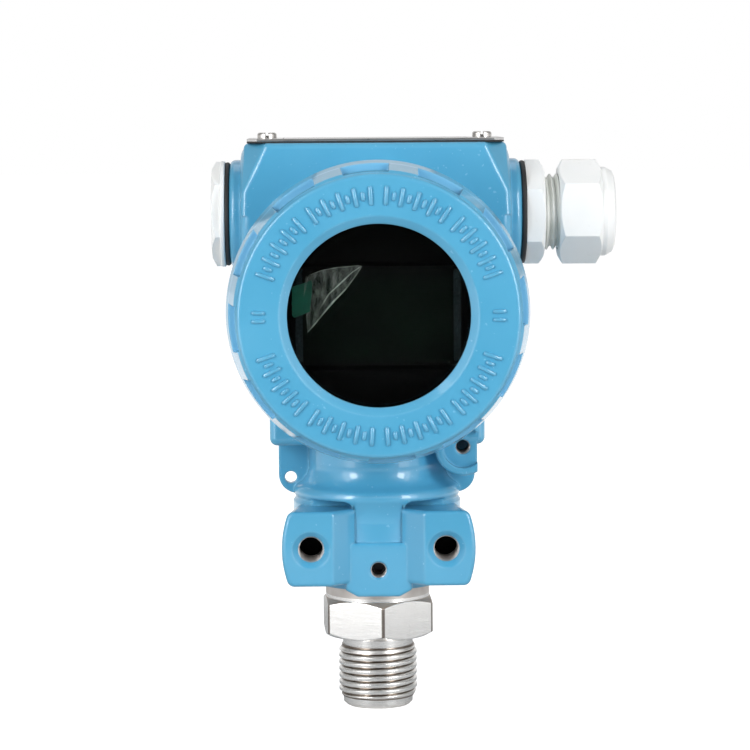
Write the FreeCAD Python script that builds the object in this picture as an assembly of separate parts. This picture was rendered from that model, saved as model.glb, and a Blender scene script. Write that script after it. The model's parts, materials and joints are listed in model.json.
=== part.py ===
"""Field-mounted gauge pressure transmitter with a local display.

A painted cast housing stands on a stainless process connection. Two screwed covers close its drum: the
front one has a window for the display, the rear one is blank and gives access to the terminals. Two
conduit bosses carry a blanking plug and a cable gland, and a swinging nameplate hides the adjust buttons.

Frame: millimetres, +Z up, the front cover faces -Y, the gland points along +X. The origin is the centre
of the lower end of the process thread. Each function below returns one sub-part in that frame.
"""

import FreeCAD, Part
import math
import os

from FreeCAD import Placement, Rotation, Vector

# ---------------------------------------------------------------- driving dimensions
# Clearances
slide_gap = 0.05  # radial clearance of a turning or sliding fit
seat_gap = 0.05  # between faces that seat on each other in different moving bodies

# Process connection, G 1/2 male
thread_diameter = 20.955
thread_length = 14.0
pilot_diameter = 18.6
pilot_length = 2.4
pilot_chamfer = 0.8
relief_diameter = 18.8
relief_length = 2.8
hex_flats = 28.0
hex_height = 10.3
hex_turn = 4.3  # degrees that the front corner is turned towards +X
collar_diameter = 28.0
collar_exposed = 2.9
collar_depth = 3.0  # inside the foot
shank_diameter = 27.0
shank_length = 14.5
socket_end_gap = 0.5  # between the shank's end and the socket's shoulder
hexagon_face_share = 0.985  # of the width across flats, left flat by the chamfer
port_diameter = 6.0

# Pressure capsule, held in the process connection
capsule_diameter = 19.0
capsule_height = 9.0
capsule_seat_height = 22.0
capsule_flange_height = 3.0
ring_nut_height = 4.0
ring_nut_hole = 15.6
ring_nut_slot_width = 2.0
ring_nut_slot_depth = 1.4
capsule_seal_section = 1.8
capsule_seal_hole = 12.4
capsule_seal_thickness = 0.6
capsule_diaphragm_radius = 6.0
capsule_body_radius = 7.6
capsule_chamfer = 0.7

# Seal groove near the top of the shank
shank_groove_drop = 4.0  # lower side of the groove below the shank's top
shank_groove_depth = 1.3
shank_groove_play = 0.4

# Housing foot with the mounting holes
foot_front = 25.2
foot_half_width = 25.45
foot_shoulder_half_width = 23.6
foot_side_taper = 4.0  # how much narrower the blocks are at the housing's middle
foot_corner_round = 2.0
foot_height = 19.7
foot_rise = 3.4  # side blocks' underside above the foot's lowest face
foot_inner_front = 11.9
foot_inner_back = 6.2
foot_wall_depth = 4.8
foot_edge_round = 1.0
foot_inner_round = 1.2
pad_edge_round = 0.8
pad_half_width = 8.9
pad_front = 21.4
pad_height = 14.2
pad_corner_width = 3.4  # lower corners, cut off at a slant
pad_corner_height = 1.9
pad_round = 1.2
socket_wall = 2.4
socket_rise = 0.9  # rim of the socket above the foot's lowest face
mount_hole_spacing = 35.3
mount_hole_diameter = 6.8
mount_hole_depth = 14.0
mount_hole_countersink = 9.8
mount_hole_rise = 13.1  # above the foot's lowest face
lock_hole_diameter = 4.2
lock_hole_countersink = 5.0
lock_hole_rise = 7.1
lock_screw_length = 3.2
lock_socket_flats = 2.5
lock_socket_depth = 2.0

# Neck
neck_radius = 18.3
bell_radius = 22.2
bell_rise = 26.0  # widest point above the foot's lowest face
bell_half_thickness = 1.8
bell_shoulder = 1.2
flare_height = 5.8
flare_mid_out = 0.16  # shares at the flare's middle point
flare_mid_rise = 0.35
skirt_radius = 22.4
skirt_waist = 21.6
column_radius = 15.0
web_half_width = 6.5
web_front = 20.5
web_edge_round = 0.8
web_flare_drop = 4.0  # lower end of the flare below the top of the mounting blocks
pocket_half_width = 20.6
pocket_rise = 1.9  # above the mounting blocks
pocket_depth = 12.0
pocket_round = 2.6
neck_bore = 16.0
neck_bore_top_rise = 40.0
lead_passage_diameter = 5.2
lead_diameter = 2.5
lead_offset = 17.2  # in front of the neck's axis, inside the front compartment
lead_bend_rise = 22.6  # above the foot's lowest face, where it leaves the axis
lead_entry_drop = 28.3  # below the drum axis
lead_end_drop = 12.3

# Drum
drum_axis_height = 108.3
drum_radius = 36.6
drum_half_length = 37.0
drum_edge_round = 1.0
cavity_radius = 31.0
cover_thread_radius = 34.0
cover_thread_depth = 13.0
bulkhead_front = -13.0
bulkhead_thickness = 3.0
feedthrough_diameter = 10.0

# Saddle between drum and neck, side webs, seal lug and earth boss
saddle_half_width = 28.3
saddle_half_depth = 15.0
saddle_bottom_drop = 36.7  # below the drum axis
saddle_round = 2.0
side_web_half_width = 26.2
side_web_half_thickness = 1.4
side_web_bottom_drop = 50.9
side_web_corner = 5.0
seal_hole_diameter = 3.2
seal_hole_offset = 23.0
seal_hole_drop = 46.6
earth_boss_offset = 22.5
earth_boss_drop = 37.3
earth_boss_radius = 7.4
earth_boss_face_radius = 5.4
earth_boss_front = -17.0
earth_boss_rim = 2.2
earth_boss_round = 0.9
earth_hole_diameter = 3.9
earth_hole_depth = 9.0

# Conduit barrel and top block
conduit_rise = 23.8  # conduit axis above the drum axis
barrel_radius = 18.0
barrel_half_length = 35.4
barrel_round = 2.6
boss_radius = 14.3
boss_length = 3.0  # past the end of the barrel
boss_round = 1.6
conduit_thread_radius = 10.0
block_draft = 1.0  # how much narrower each end is at the top
block_over_barrel = 0.9  # top face above the barrel
block_round = 1.6
facet_width = 6.2
facet_depth = 9.0
facet_foot_rise = 4.7  # lower tip of the corner facets above the conduit axis

# Covers, both the same outside
cover_radius = 38.65
cover_shoulder_radius = 36.3  # at the front end of the lugs
cover_face_radius = 35.6
cover_height = 15.0
cover_edge_round = 0.9
cover_shoulder_drop = 1.0  # from the face to the front end of the lugs
cover_back_round = 1.0
cover_back_inset = 0.6
cover_front_round = 0.6
lug_count = 12
lug_root_angle = 13.4
lug_crest_angle = 10.4
lug_phase = 10.0  # clockwise from the top, seen from the cover's own face
lug_floor_radius = 36.0
lug_cut_inset = 3.3  # how far under its floor a notch is drawn
lug_gap_start = 5.0  # from the seat, behind it the rim is whole
cover_spigot_length = 11.5
spigot_chamfer = 0.8
spigot_overlap = 0.5  # into the cover's blank
cover_spigot_wall = 3.2
cover_seal_section = 2.0
seal_sunk_share = 0.4  # of the section, lying in the groove
seal_groove_share = 1.15  # the groove's length in sections
cover_seal_seat_radius = 35.2
rear_face_thickness = 4.0
rear_boss_radius = 25.0
rear_boss_recess = 0.8

# Window
window_radius = 23.0
window_chamfer = 2.0
window_chamfer_slope = 0.8  # depth over width
window_lip = 2.6
glass_radius = 26.6
glass_thickness = 5.0
gasket_thickness = 0.6
gasket_inset = 0.3  # between the gasket and the window's edge
window_ring_radius = 29.4
window_ring_hole = 24.2
window_ring_thickness = 3.4
window_ring_slots = 4
window_ring_slot_width = 3.0
window_ring_slot_length = 2.2
window_ring_slot_depth = 1.6
glass_chamfer = 0.5

# Display module
display_radius = 28.6
display_front = -38.0
display_depth = 5.5
display_wall = 1.6
display_edge_round = 1.0
display_window_bevel = 1.0
display_window_width = 42.4
display_window_height = 25.2
display_window_drop = 0.9  # centre below the drum axis
lcd_view_width = 38.2
lcd_view_height = 21.2
lcd_view_drop = 1.9  # centre below the drum axis
lcd_view_recess = 0.3
lcd_margin = 1.4  # hidden behind the bezel on each side
lcd_thickness = 2.4
film_thickness = 0.2
film_lift = 3.5
film_inset = 0.2  # from the display window's top and bottom edges
film_margin = 2.4  # between the film's left edge and the display window
film_right_margin = 0.6
film_fold_top = 15.0  # along the top edge, from the left edge
film_fold_side = 17.0  # down the left edge, from the top edge
tab_width = 5.2
tab_height = 9.4
tab_overhang = 3.4  # past the film's left edge
tab_drop = 3.8
tab_thickness = 0.15
board_thickness = 1.6
board_radius = 28.4
standoff_diameter = 5.0
board_post_diameter = 5.2
board_hole_diameter = 3.2
standoff_circle = 24.0
main_board_front = -21.0
main_board_potting = 2.2
main_board_potting_radius = 15.0
main_board_potting_rise = 2.0
main_board_plug_width = 8.0
main_board_plug_height = 5.0
main_board_plug_wall = 0.6

# Terminal block
terminal_count = 3
terminal_pitch = 11.0
terminal_block_height = 19.0
terminal_block_depth = 22.0
terminal_block_drop = 4.0  # block's centre below the drum axis
terminal_barrier = 1.6
terminal_barrier_height = 3.4
terminal_end_wall = 3.0
terminal_edge_round = 1.0
terminal_tunnel_width = 4.4
terminal_tunnel_height = 3.8
terminal_tunnel_depth = 1.6  # its nearer side below the block's face
terminal_screw_diameter = 6.0
terminal_screw_height = 2.2
pan_dome_share = 0.45  # shares of a pan head
pan_slot_width_share = 0.16
pan_cross_share = 0.6
terminal_thread_diameter = 3.2
terminal_thread_length = 5.5
terminal_hole_diameter = 3.4
terminal_hole_depth = 6.0
terminal_plate_thickness = 1.0
terminal_plate_gap = 0.4  # between a plate and the barrier beside it
inner_earth_offset = 17.2
inner_earth_rise = 12.0  # above the drum axis
inner_earth_head_diameter = 7.0
inner_earth_head_height = 2.6
inner_earth_thread_diameter = 4.0
inner_earth_thread_length = 2.4

# Nameplate and buttons
nameplate_end_inset = 0.9  # from the top block's ends
nameplate_side_inset = 1.5  # from the top block's front and rear
nameplate_thickness = 0.6
nameplate_corner = 2.5
nameplate_gasket = 0.4
button_rise_share = 0.4  # of the gasket, above the block
nameplate_slot_gap = 0.25
gasket_hole_gap = 0.2
gasket_button_gap = 0.8
nameplate_screw_inset = 5.0  # from the plate's ends
nameplate_screw_diameter = 3.0
nameplate_head_diameter = 5.2
nameplate_head_height = 1.5
nameplate_screw_length = 6.0
button_spacing = 20.0
button_diameter = 7.0
button_height = 4.6
button_well_depth = 9.0
button_stem_diameter = 2.4
button_stem_length = 1.0
button_edge_round = 0.5
button_dish_radius = 9.0
button_dish_depth = 0.35
spring_stem_gap = 0.3
spring_wire = 0.45
spring_turns = 4

# Cable gland, M20
gland_flats = 24.0
gland_base_height = 5.0
gland_base_turn = 2.6
gland_nut_turn = -4.0
gland_thread_diameter = 20.2
gland_shank_diameter = 19.4
gland_shank_length = 9.0
gland_neck_length = 10.2
gland_washer_thickness = 1.3
gland_bore = 14.0
gland_bore_step = 0.8
gland_entry_bore = 11.0
gland_nut_length = 11.2
gland_nose_length = 3.6
gland_nose_straight_share = 0.35
gland_nose_taper_share = 0.85
gland_nose_tip_width = 1.2
gland_nut_thread_inset = 0.6
gland_nose_radius = 11.8
gland_nose_tip_radius = 9.6
gland_nut_opening = 12.6
gland_nut_gap = 3.9  # between the base and the nut as stored
gland_seal_bore = 9.0
gland_seal_length = 8.0
gland_seal_taper = 1.0
gland_seal_taper_length = 1.2
gland_washer_inset = 0.6
washer_gap = 0.1  # radial, round the shank
washer_edge_round = 0.5

# Blanking plug, M20
plug_flats = 24.0
plug_flange_radius = 14.0
plug_flange_thickness = 1.2
plug_head_height = 2.4
plug_washer_thickness = 1.2
plug_shank_length = 9.0
plug_hex_turn = 5.8
plug_recess_radius = 7.0
plug_recess_depth = 2.4
plug_flange_round = 0.4
plug_overlap = 0.5  # of the plug's joined forms
plug_washer_inset = 0.3

# ---------------------------------------------------------------- worked-out places
z_thread = pilot_length
z_relief = z_thread + thread_length
z_hex = z_relief + relief_length
z_collar = z_hex + hex_height
z_foot = z_collar + collar_exposed
z_socket_top = z_foot + shank_length + socket_end_gap
z_foot_blocks = z_foot + foot_rise
z_mount_holes = z_foot + mount_hole_rise
z_lock = z_foot + lock_hole_rise
z_foot_top = z_foot_blocks + foot_height
z_bell = z_foot + bell_rise
z_drum = drum_axis_height
z_conduit = z_drum + conduit_rise
block_rise = barrel_radius + block_over_barrel
block_half_width = barrel_half_length - block_draft
boss_half_length = barrel_half_length + boss_length
nameplate_width = 2 * (block_half_width - nameplate_end_inset)
nameplate_depth = 2 * (barrel_radius - nameplate_side_inset)
nameplate_screw_spacing = nameplate_width - 2 * nameplate_screw_inset
z_block_top = z_conduit + block_rise
z_nameplate = z_block_top + nameplate_gasket
z_saddle = z_drum - saddle_bottom_drop
z_side_web = z_drum - side_web_bottom_drop
z_display = z_drum - display_window_drop
z_lcd_view = z_drum - lcd_view_drop
bulkhead_rear = bulkhead_front + bulkhead_thickness
cover_spigot_radius = cover_thread_radius - slide_gap
cover_spigot_bore = cover_spigot_radius - cover_spigot_wall

X_AXIS = Vector(1, 0, 0)
Y_AXIS = Vector(0, 1, 0)
Z_AXIS = Vector(0, 0, 1)
ORIGIN = Vector(0, 0, 0)
OVER = 1.0  # how far a cutting tool runs past the face it cuts


# ---------------------------------------------------------------- helpers
def rod(radius, start, end):
    """A cylinder between two points."""
    run = end - start
    return Part.makeCylinder(radius, run.Length, start, run)


def tube(outer, inner, start, end):
    """A hollow cylinder between two points."""
    run = end - start
    reach = run.normalize() * OVER
    return rod(outer, start, end).cut(rod(inner, start - reach, end + reach))


def box(low, high):
    """A box between two opposite corners."""
    return Part.makeBox(high.x - low.x, high.y - low.y, high.z - low.z, low)


def prism(points, direction):
    """A closed polygon pushed along a direction."""
    return Part.Face(Part.makePolygon(points + points[:1])).extrude(direction)


def turned(points):
    """A profile of (radius, height) points, turned about the Z axis."""
    corners = [Vector(r, 0, z) for r, z in points]
    return Part.Face(Part.makePolygon(corners + corners[:1])).revolve(ORIGIN, Z_AXIS, 360)


def torus(radius, section, centre, axis):
    """A round seal ring."""
    return Part.makeTorus(radius, section / 2, centre, axis)


def hexagon(flats, height, base_z, turn=0.0, chamfer=0.0, top_only=False):
    """A hexagonal prism about Z with a corner at `turn` degrees, its corners turned down by a cone."""
    corner = flats / math.sqrt(3)
    points = []
    for k in range(6):
        angle = math.radians(turn + 60 * k)
        points.append(Vector(corner * math.cos(angle), corner * math.sin(angle), base_z))
    solid = prism(points, Vector(0, 0, height))
    if not chamfer:
        return solid
    edge = flats / 2 * hexagon_face_share
    rise = (corner - edge) * math.tan(math.radians(30))
    low = base_z if top_only else base_z + rise
    profile = [(0, base_z), (corner if top_only else edge, base_z), (corner, low)]
    profile += [(corner, base_z + height - rise), (edge, base_z + height), (0, base_z + height)]
    if top_only:
        profile.pop(2)
    return solid.common(turned(profile))


def rounded(shape, radius, wanted):
    """Fillets the edges for which wanted(edge) is true."""
    edges = [edge for edge in shape.Edges if wanted(edge)]
    return shape.makeFillet(radius, edges)


def fused(shapes):
    """All shapes as one, without the seams between their faces."""
    return shapes[0].multiFuse(shapes[1:]).removeSplitter()


def is_circle(edge, radius, height=None):
    """Whether an edge is a full circle of that radius, at that height along Z where one is given."""
    if not isinstance(edge.Curve, Part.Circle) or abs(edge.Curve.Radius - radius) > 1e-3:
        return False
    return height is None or abs(edge.Curve.Center.z - height) < 1e-3


def facing_front(shape):
    """From a cover's own frame, where +Z points away from the drum, to the front end of the drum."""
    placed = shape.copy()
    placed.Placement = Placement(Vector(0, -drum_half_length, z_drum), Rotation(X_AXIS, 90))
    return placed


def facing_rear(shape):
    """From a cover's own frame to the rear end of the drum."""
    placed = facing_front(shape)
    placed.rotate(ORIGIN, Z_AXIS, 180)
    return placed


def facing_right(shape):
    """From a conduit fitting's own frame, where +Z points out of the boss, to the right boss."""
    placed = shape.copy()
    placed.Placement = Placement(Vector(boss_half_length, 0, z_conduit), Rotation(Y_AXIS, 90))
    return placed


def facing_left(shape):
    """From a conduit fitting's own frame to the left boss."""
    placed = shape.copy()
    placed.Placement = Placement(Vector(-boss_half_length, 0, z_conduit), Rotation(Y_AXIS, -90))
    return placed


def up(z):
    return Vector(0, 0, z)


def at_y(y, z=z_drum, x=0.0):
    return Vector(x, y, z)


# ---------------------------------------------------------------- housing
def foot():
    """The foot's solids: two mounting blocks, the lock-screw pad between them, and the socket's wall."""
    wall_radius = collar_diameter / 2 + socket_wall
    collar = rod(wall_radius, up(z_foot + socket_rise), up(z_foot_top))
    return [mounting_block(-1), mounting_block(1), lock_pad(), collar]


def lock_pad():
    """The pad for the lock screw, its lower corners cut off at a slant."""
    side = pad_half_width
    low, high = z_foot, z_foot + pad_height
    outline = [
        (-side, high),
        (-side, low + pad_corner_height),
        (pad_corner_width - side, low),
        (side - pad_corner_width, low),
        (side, low + pad_corner_height),
        (side, high),
    ]
    pad = prism([Vector(x, -pad_front, z) for x, z in outline], Y_AXIS * pad_front)
    pad = rounded(pad, pad_round, lambda e: lower_pad_edge(e))
    return rounded(pad, pad_edge_round, lambda e: pad_front_edge(e))


def lower_pad_edge(edge):
    """The pad's edges from front to back round its slanting lower corners."""
    return edge.BoundBox.YLength > 1 and edge.BoundBox.Center.z < z_foot + pad_corner_height + 1e-3


def mounting_block(side):
    """A block that bulges outwards, narrows towards the housing's middle and slants on its inner side."""
    front = block_outline(side, -foot_front, 0)
    back = block_outline(side, 0, foot_side_taper)
    block = Part.makeLoft([front, back], True)
    inner = foot_front - foot_wall_depth
    wide = foot_half_width + OVER
    plan = [
        (wide, foot_front),
        (foot_inner_front, foot_front),
        (foot_inner_back, inner),
        (foot_inner_back, 0),
        (wide, 0),
    ]
    corners = [Vector(side * x, -y, z_foot_blocks) for x, y in plan]
    block = block.common(prism(corners, up(foot_height)))
    block = rounded(block, foot_corner_round, lambda e: outer_corner(e))
    block = rounded(block, foot_inner_round, lambda e: inner_corner(e))
    return rounded(block, foot_edge_round, lambda e: block_front_edge(e))


def block_outline(side, y, inset):
    """A mounting block seen from the front, out to its bulging side, at one depth."""
    shoulder = side * (foot_shoulder_half_width - inset)
    bulge = side * (foot_half_width - inset)
    low, high = z_foot_blocks, z_foot_top
    points = [Vector(0, y, low), Vector(shoulder, y, low), Vector(shoulder, y, high), Vector(0, y, high)]
    return Part.Wire(
        [
            Part.makeLine(points[0], points[1]),
            Part.Arc(points[1], Vector(bulge, y, (low + high) / 2), points[2]).toShape(),
            Part.makeLine(points[2], points[3]),
            Part.makeLine(points[3], points[0]),
        ]
    )


def outer_corner(edge):
    """A mounting block's upper and lower outer corners, which run from front to back."""
    lengthwise = edge.BoundBox.YLength > foot_wall_depth + 1
    return lengthwise and abs(edge.BoundBox.Center.x) > foot_inner_front


def inner_corner(edge):
    """The upper and lower ends of a mounting block's slanting inner side."""
    slanting = abs(edge.BoundBox.YLength - foot_wall_depth) < 0.01
    return slanting and abs(edge.BoundBox.Center.x) < foot_inner_front


def block_front_edge(edge):
    """The edges round a mounting block's front face."""
    return edge.BoundBox.YLength < 1e-3 and abs(edge.BoundBox.Center.y + foot_front) < 1e-3


def pad_front_edge(edge):
    """The edges round the lock-screw pad's front face."""
    return edge.BoundBox.YLength < 1e-3 and abs(edge.BoundBox.Center.y + pad_front) < 1e-3


def neck():
    """The neck: a turned column with a flare, a rolled bell, a skirt behind the foot, and the front web."""
    skirt_low = z_foot_blocks + foot_corner_round
    waist_z = z_bell - bell_half_thickness
    reach = 2 * bell_radius
    back = -foot_front + pocket_depth
    cuts = [
        box(Vector(-reach, -reach, skirt_low - OVER), Vector(reach, back, z_foot_top)),
        box(Vector(-web_half_width, -reach, skirt_low - OVER), Vector(web_half_width, back, waist_z)),
        bell_pocket(-1),
        bell_pocket(1),
    ]
    turned_part = turned_neck(skirt_low, waist_z)
    for cut in cuts:
        turned_part = turned_part.cut(cut)
    column = rod(column_radius, up(z_foot_top - OVER), up(z_bell))
    return fused([turned_part, column, front_web()])


def turned_neck(skirt_low, waist_z):
    """The neck's turned form, from the skirt's lower end up to the drum's axis."""
    flare_z = z_bell + bell_half_thickness
    flare_out = bell_radius - neck_radius
    flare_end = Vector(neck_radius, 0, flare_z + flare_height)
    mid_out = neck_radius + flare_mid_out * flare_out
    flare_mid = Vector(mid_out, 0, flare_z + flare_height * flare_mid_rise)
    roll_top = Vector(bell_radius - bell_shoulder, 0, flare_z)
    roll_mid = Vector(bell_radius, 0, z_bell)
    waist = Vector(skirt_waist, 0, waist_z)
    skirt_top = Vector(skirt_radius, 0, z_foot_top)
    skirt_end = Vector(skirt_radius, 0, skirt_low)
    profile = [
        Part.makeLine(up(skirt_low), skirt_end),
        Part.makeLine(skirt_end, skirt_top),
        Part.makeLine(skirt_top, waist),
        Part.Arc(waist, roll_mid, roll_top).toShape(),
        Part.Arc(roll_top, flare_mid, flare_end).toShape(),
        Part.makeLine(flare_end, Vector(neck_radius, 0, z_drum)),
        Part.makeLine(Vector(neck_radius, 0, z_drum), up(z_drum)),
        Part.makeLine(up(z_drum), up(skirt_low)),
    ]
    return Part.Face(Part.Wire(profile)).revolve(ORIGIN, Z_AXIS, 360)


def bell_pocket(side):
    """The hollow between the bell and a mounting block, rounded like an arch beside the web."""
    near, far = sorted((side * web_half_width, side * pocket_half_width))
    low = Vector(near, -foot_front - OVER, z_foot_top - OVER)
    high = Vector(far, -foot_front + pocket_depth, z_foot_top + pocket_rise)
    return rounded(box(low, high), pocket_round, lambda e: pocket_top_edge(e))


def pocket_top_edge(edge):
    """A pocket's upper edges from front to back."""
    return edge.BoundBox.YLength > 1 and edge.BoundBox.Center.z > z_foot_top


def front_web():
    """The web from the bell down to the lock-screw pad, turned like the bell and flared out at its top."""
    top = z_bell + bell_half_thickness / 3
    low = z_foot + pad_height - OVER
    flare_low = z_foot_top - web_flare_drop
    flare = Part.BezierCurve()
    flare.setPoles(
        [
            Vector(bell_radius, 0, top),
            Vector(bell_radius, 0, z_foot_top + OVER / 2),
            Vector(web_front, 0, z_foot_top + OVER / 2),
            Vector(web_front, 0, flare_low),
        ]
    )
    outline = [
        flare.toShape(),
        Part.makeLine(Vector(web_front, 0, flare_low), Vector(web_front, 0, low)),
        Part.makeLine(Vector(web_front, 0, low), up(low)),
        Part.makeLine(up(low), up(top)),
        Part.makeLine(up(top), Vector(bell_radius, 0, top)),
    ]
    round_web = Part.Face(Part.Wire(outline)).revolve(ORIGIN, Z_AXIS, 360)
    slab = box(Vector(-web_half_width, -2 * bell_radius, low - OVER), Vector(web_half_width, 0, top + OVER))
    return rounded(round_web.common(slab), web_edge_round, lambda e: web_side_edge(e))


def web_side_edge(edge):
    """The upright edges at both sides of the web's front."""
    bounds = edge.BoundBox
    return bounds.XLength < 1e-3 and bounds.ZLength > 1 and bounds.YMax < -web_front / 2


def drum():
    """The drum between the two covers."""
    body = rod(drum_radius, at_y(-drum_half_length), at_y(drum_half_length))
    return rounded(body, drum_edge_round, lambda e: is_circle(e, drum_radius))


def saddle():
    """The box under the drum, with side webs down to the bell, the seal lug and the earth boss."""
    block = box(
        Vector(-saddle_half_width, -saddle_half_depth, z_saddle),
        Vector(saddle_half_width, saddle_half_depth, z_drum),
    )
    block = rounded(block, saddle_round, lambda e: saddle_edge(e))
    web = box(
        Vector(-side_web_half_width, -side_web_half_thickness, z_side_web),
        Vector(side_web_half_width, side_web_half_thickness, z_saddle + saddle_round + OVER),
    )
    web = rounded(
        web,
        side_web_corner,
        lambda e: e.BoundBox.YLength > 1 and e.BoundBox.Center.z < z_side_web + 1e-3,
    )
    return fused([block, web, earth_boss()])


def saddle_edge(edge):
    """The saddle's upright edges and those round its underside."""
    return edge.BoundBox.ZLength > 1 or edge.BoundBox.Center.z < z_saddle + 1e-3


def earth_boss():
    """A round boss beside the neck with a recessed face and a tapped hole, flat on its outer side."""
    z = z_drum - earth_boss_drop
    front = at_y(earth_boss_front, z, earth_boss_offset)
    back = at_y(side_web_half_thickness, z, earth_boss_offset)
    body = rod(earth_boss_radius, front, back)
    body = rounded(body, earth_boss_round, lambda e: is_front_rim(e, earth_boss_front))
    face = rod(earth_boss_face_radius, front, front + Y_AXIS * earth_boss_rim)
    reach = 2 * earth_boss_radius
    flat = box(
        Vector(side_web_half_width, earth_boss_front - OVER, z - reach),
        Vector(side_web_half_width + reach, side_web_half_thickness + OVER, z + reach),
    )
    return body.cut(face).cut(flat)


def conduit_barrel():
    """The barrel across the housing, a boss at each end, and the block that carries the nameplate."""
    axis_z = z_conduit
    left = Vector(-barrel_half_length, 0, axis_z)
    barrel = rod(barrel_radius, left, Vector(barrel_half_length, 0, axis_z))
    barrel = rounded(barrel, barrel_round, lambda e: is_circle(e, barrel_radius))
    bosses = rod(boss_radius, Vector(-boss_half_length, 0, axis_z), Vector(boss_half_length, 0, axis_z))
    bosses = rounded(bosses, boss_round, lambda e: is_circle(e, boss_radius))
    return fused([barrel, bosses, top_block()])


def top_block():
    """The block over the barrel, a little wider at its foot, with a triangular facet on each corner."""
    foot_half = barrel_half_length
    low = Part.makePolygon(rectangle(foot_half, barrel_radius, z_conduit))
    high = Part.makePolygon(rectangle(block_half_width, barrel_radius, z_block_top))
    block = Part.makeLoft([low, high], True, True)
    for side_x in (-1, 1):
        for side_y in (-1, 1):
            block = block.cut(facet_cutter(side_x, side_y))
    return rounded(block, block_round, lambda e: e.BoundBox.Center.z > z_conduit + 1e-3)


def rectangle(half_x, half_y, z):
    corners = [(-half_x, -half_y), (half_x, -half_y), (half_x, half_y), (-half_x, half_y)]
    points = [Vector(x, y, z) for x, y in corners]
    return points + points[:1]


def facet_cutter(side_x, side_y):
    """A wedge whose inner plane runs from the facet's top edge down to its tip on the corner."""
    share = facet_foot_rise / block_rise
    tip_x = barrel_half_length + (block_half_width - barrel_half_length) * share
    tip = Vector(side_x * tip_x, side_y * barrel_radius, z_conduit + facet_foot_rise)
    on_front = Vector(side_x * (block_half_width - facet_width), side_y * barrel_radius, z_block_top)
    on_side = Vector(side_x * block_half_width, side_y * (barrel_radius - facet_depth), z_block_top)
    middle = (tip + on_front + on_side) / 3
    corners = [middle + (p - middle) * 3 for p in (tip, on_front, on_side)]
    normal = (on_front - tip).cross(on_side - tip).normalize()
    outwards = Vector(side_x, side_y, 0)
    if normal.dot(outwards) < 0:
        normal = -normal
    return prism(corners, normal * barrel_radius)


def housing():
    """The painted casting: two compartments, threaded mouths, conduits, neck bore and tapped holes."""
    solid = fused([drum(), conduit_barrel(), saddle(), neck()] + foot())
    thread_end = drum_half_length - cover_thread_depth
    outside = drum_half_length + OVER
    cuts = [
        rod(cavity_radius, at_y(-outside), at_y(bulkhead_front)),
        rod(cavity_radius, at_y(bulkhead_rear), at_y(outside)),
        rod(cover_thread_radius, at_y(-outside), at_y(-thread_end)),
        rod(cover_thread_radius, at_y(thread_end), at_y(outside)),
        rod(feedthrough_diameter / 2, at_y(bulkhead_front - OVER), at_y(bulkhead_rear + OVER)),
        conduit_cut(-1),
        conduit_cut(1),
        rod(collar_diameter / 2 + slide_gap, up(z_foot - OVER), up(z_socket_top)),
        rod(neck_bore / 2, up(z_socket_top - OVER), up(z_foot + neck_bore_top_rise)),
        lead_passage(),
        seal_hole(),
        earth_hole(),
        inner_earth_hole(),
    ]
    cuts += seal_seats()
    cuts += mount_holes() + lock_holes() + block_holes()
    return solid.cut(Part.Compound(cuts).Solids)


def seal_seats():
    """The counterbore at each mouth of the drum, which the cover's seal lies in."""
    seat = rod(cover_seal_seat_radius, up(-cover_seal_section), up(OVER))
    return [facing_front(seat), facing_rear(seat)]


def conduit_cut(side):
    """The tapped conduit from one boss into the terminal compartment."""
    start = Vector(side * (boss_half_length + OVER), 0, z_conduit)
    return rod(conduit_thread_radius, start, Vector(side * cavity_radius / 2, 0, z_conduit))


LEAD_POINTS = [
    Vector(0, 0, capsule_seat_height + capsule_height),
    Vector(0, 0, z_foot + lead_bend_rise),
    Vector(0, -lead_offset, z_drum - lead_entry_drop),
    Vector(0, -lead_offset, z_drum - lead_end_drop),
]


def lead_passage():
    """The slanting hole from the neck bore up into the front compartment."""
    low, high = LEAD_POINTS[1], LEAD_POINTS[2]
    return rod(lead_passage_diameter / 2, low, high)


def seal_hole():
    """The hole in the left web for a sealing wire."""
    z = z_drum - seal_hole_drop
    reach = side_web_half_thickness + OVER
    return rod(seal_hole_diameter / 2, at_y(-reach, z, -seal_hole_offset), at_y(reach, z, -seal_hole_offset))


def earth_hole():
    """The tapped hole in the earth boss."""
    z = z_drum - earth_boss_drop
    front = earth_boss_front - OVER
    back = earth_boss_front + earth_boss_rim + earth_hole_depth
    return rod(earth_hole_diameter / 2, at_y(front, z, earth_boss_offset), at_y(back, z, earth_boss_offset))


def inner_earth_hole():
    """The blind tapped hole in the bulkhead for the inner earth screw."""
    mouth = inner_earth_seat()
    return rod(inner_earth_thread_diameter / 2, mouth - Y_AXIS * inner_earth_thread_length, mouth)


def mount_holes():
    """The two tapped and countersunk mounting holes in the foot's front faces."""
    holes = []
    for side in (-1, 1):
        mouth = at_y(-foot_front, z_mount_holes, side * mount_hole_spacing / 2)
        holes.append(sunk_hole(mount_hole_diameter, mount_hole_countersink, mount_hole_depth, mouth))
    return holes


def sunk_hole(diameter, countersink, depth, mouth):
    """A blind hole that runs back from the point `mouth`, with a 90 degree countersink."""
    hole = rod(diameter / 2, mouth - Y_AXIS * OVER, mouth + Y_AXIS * depth)
    sink_depth = (countersink - diameter) / 2
    sink = Part.makeCone(countersink / 2, diameter / 2, sink_depth, mouth, Y_AXIS)
    return fused([hole, sink])


def lock_holes():
    """The tapped hole in the front pad for the screw that locks the process connection."""
    depth = pad_front - shank_diameter / 4
    return [sunk_hole(lock_hole_diameter, lock_hole_countersink, depth, at_y(-pad_front, z_lock))]


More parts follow.
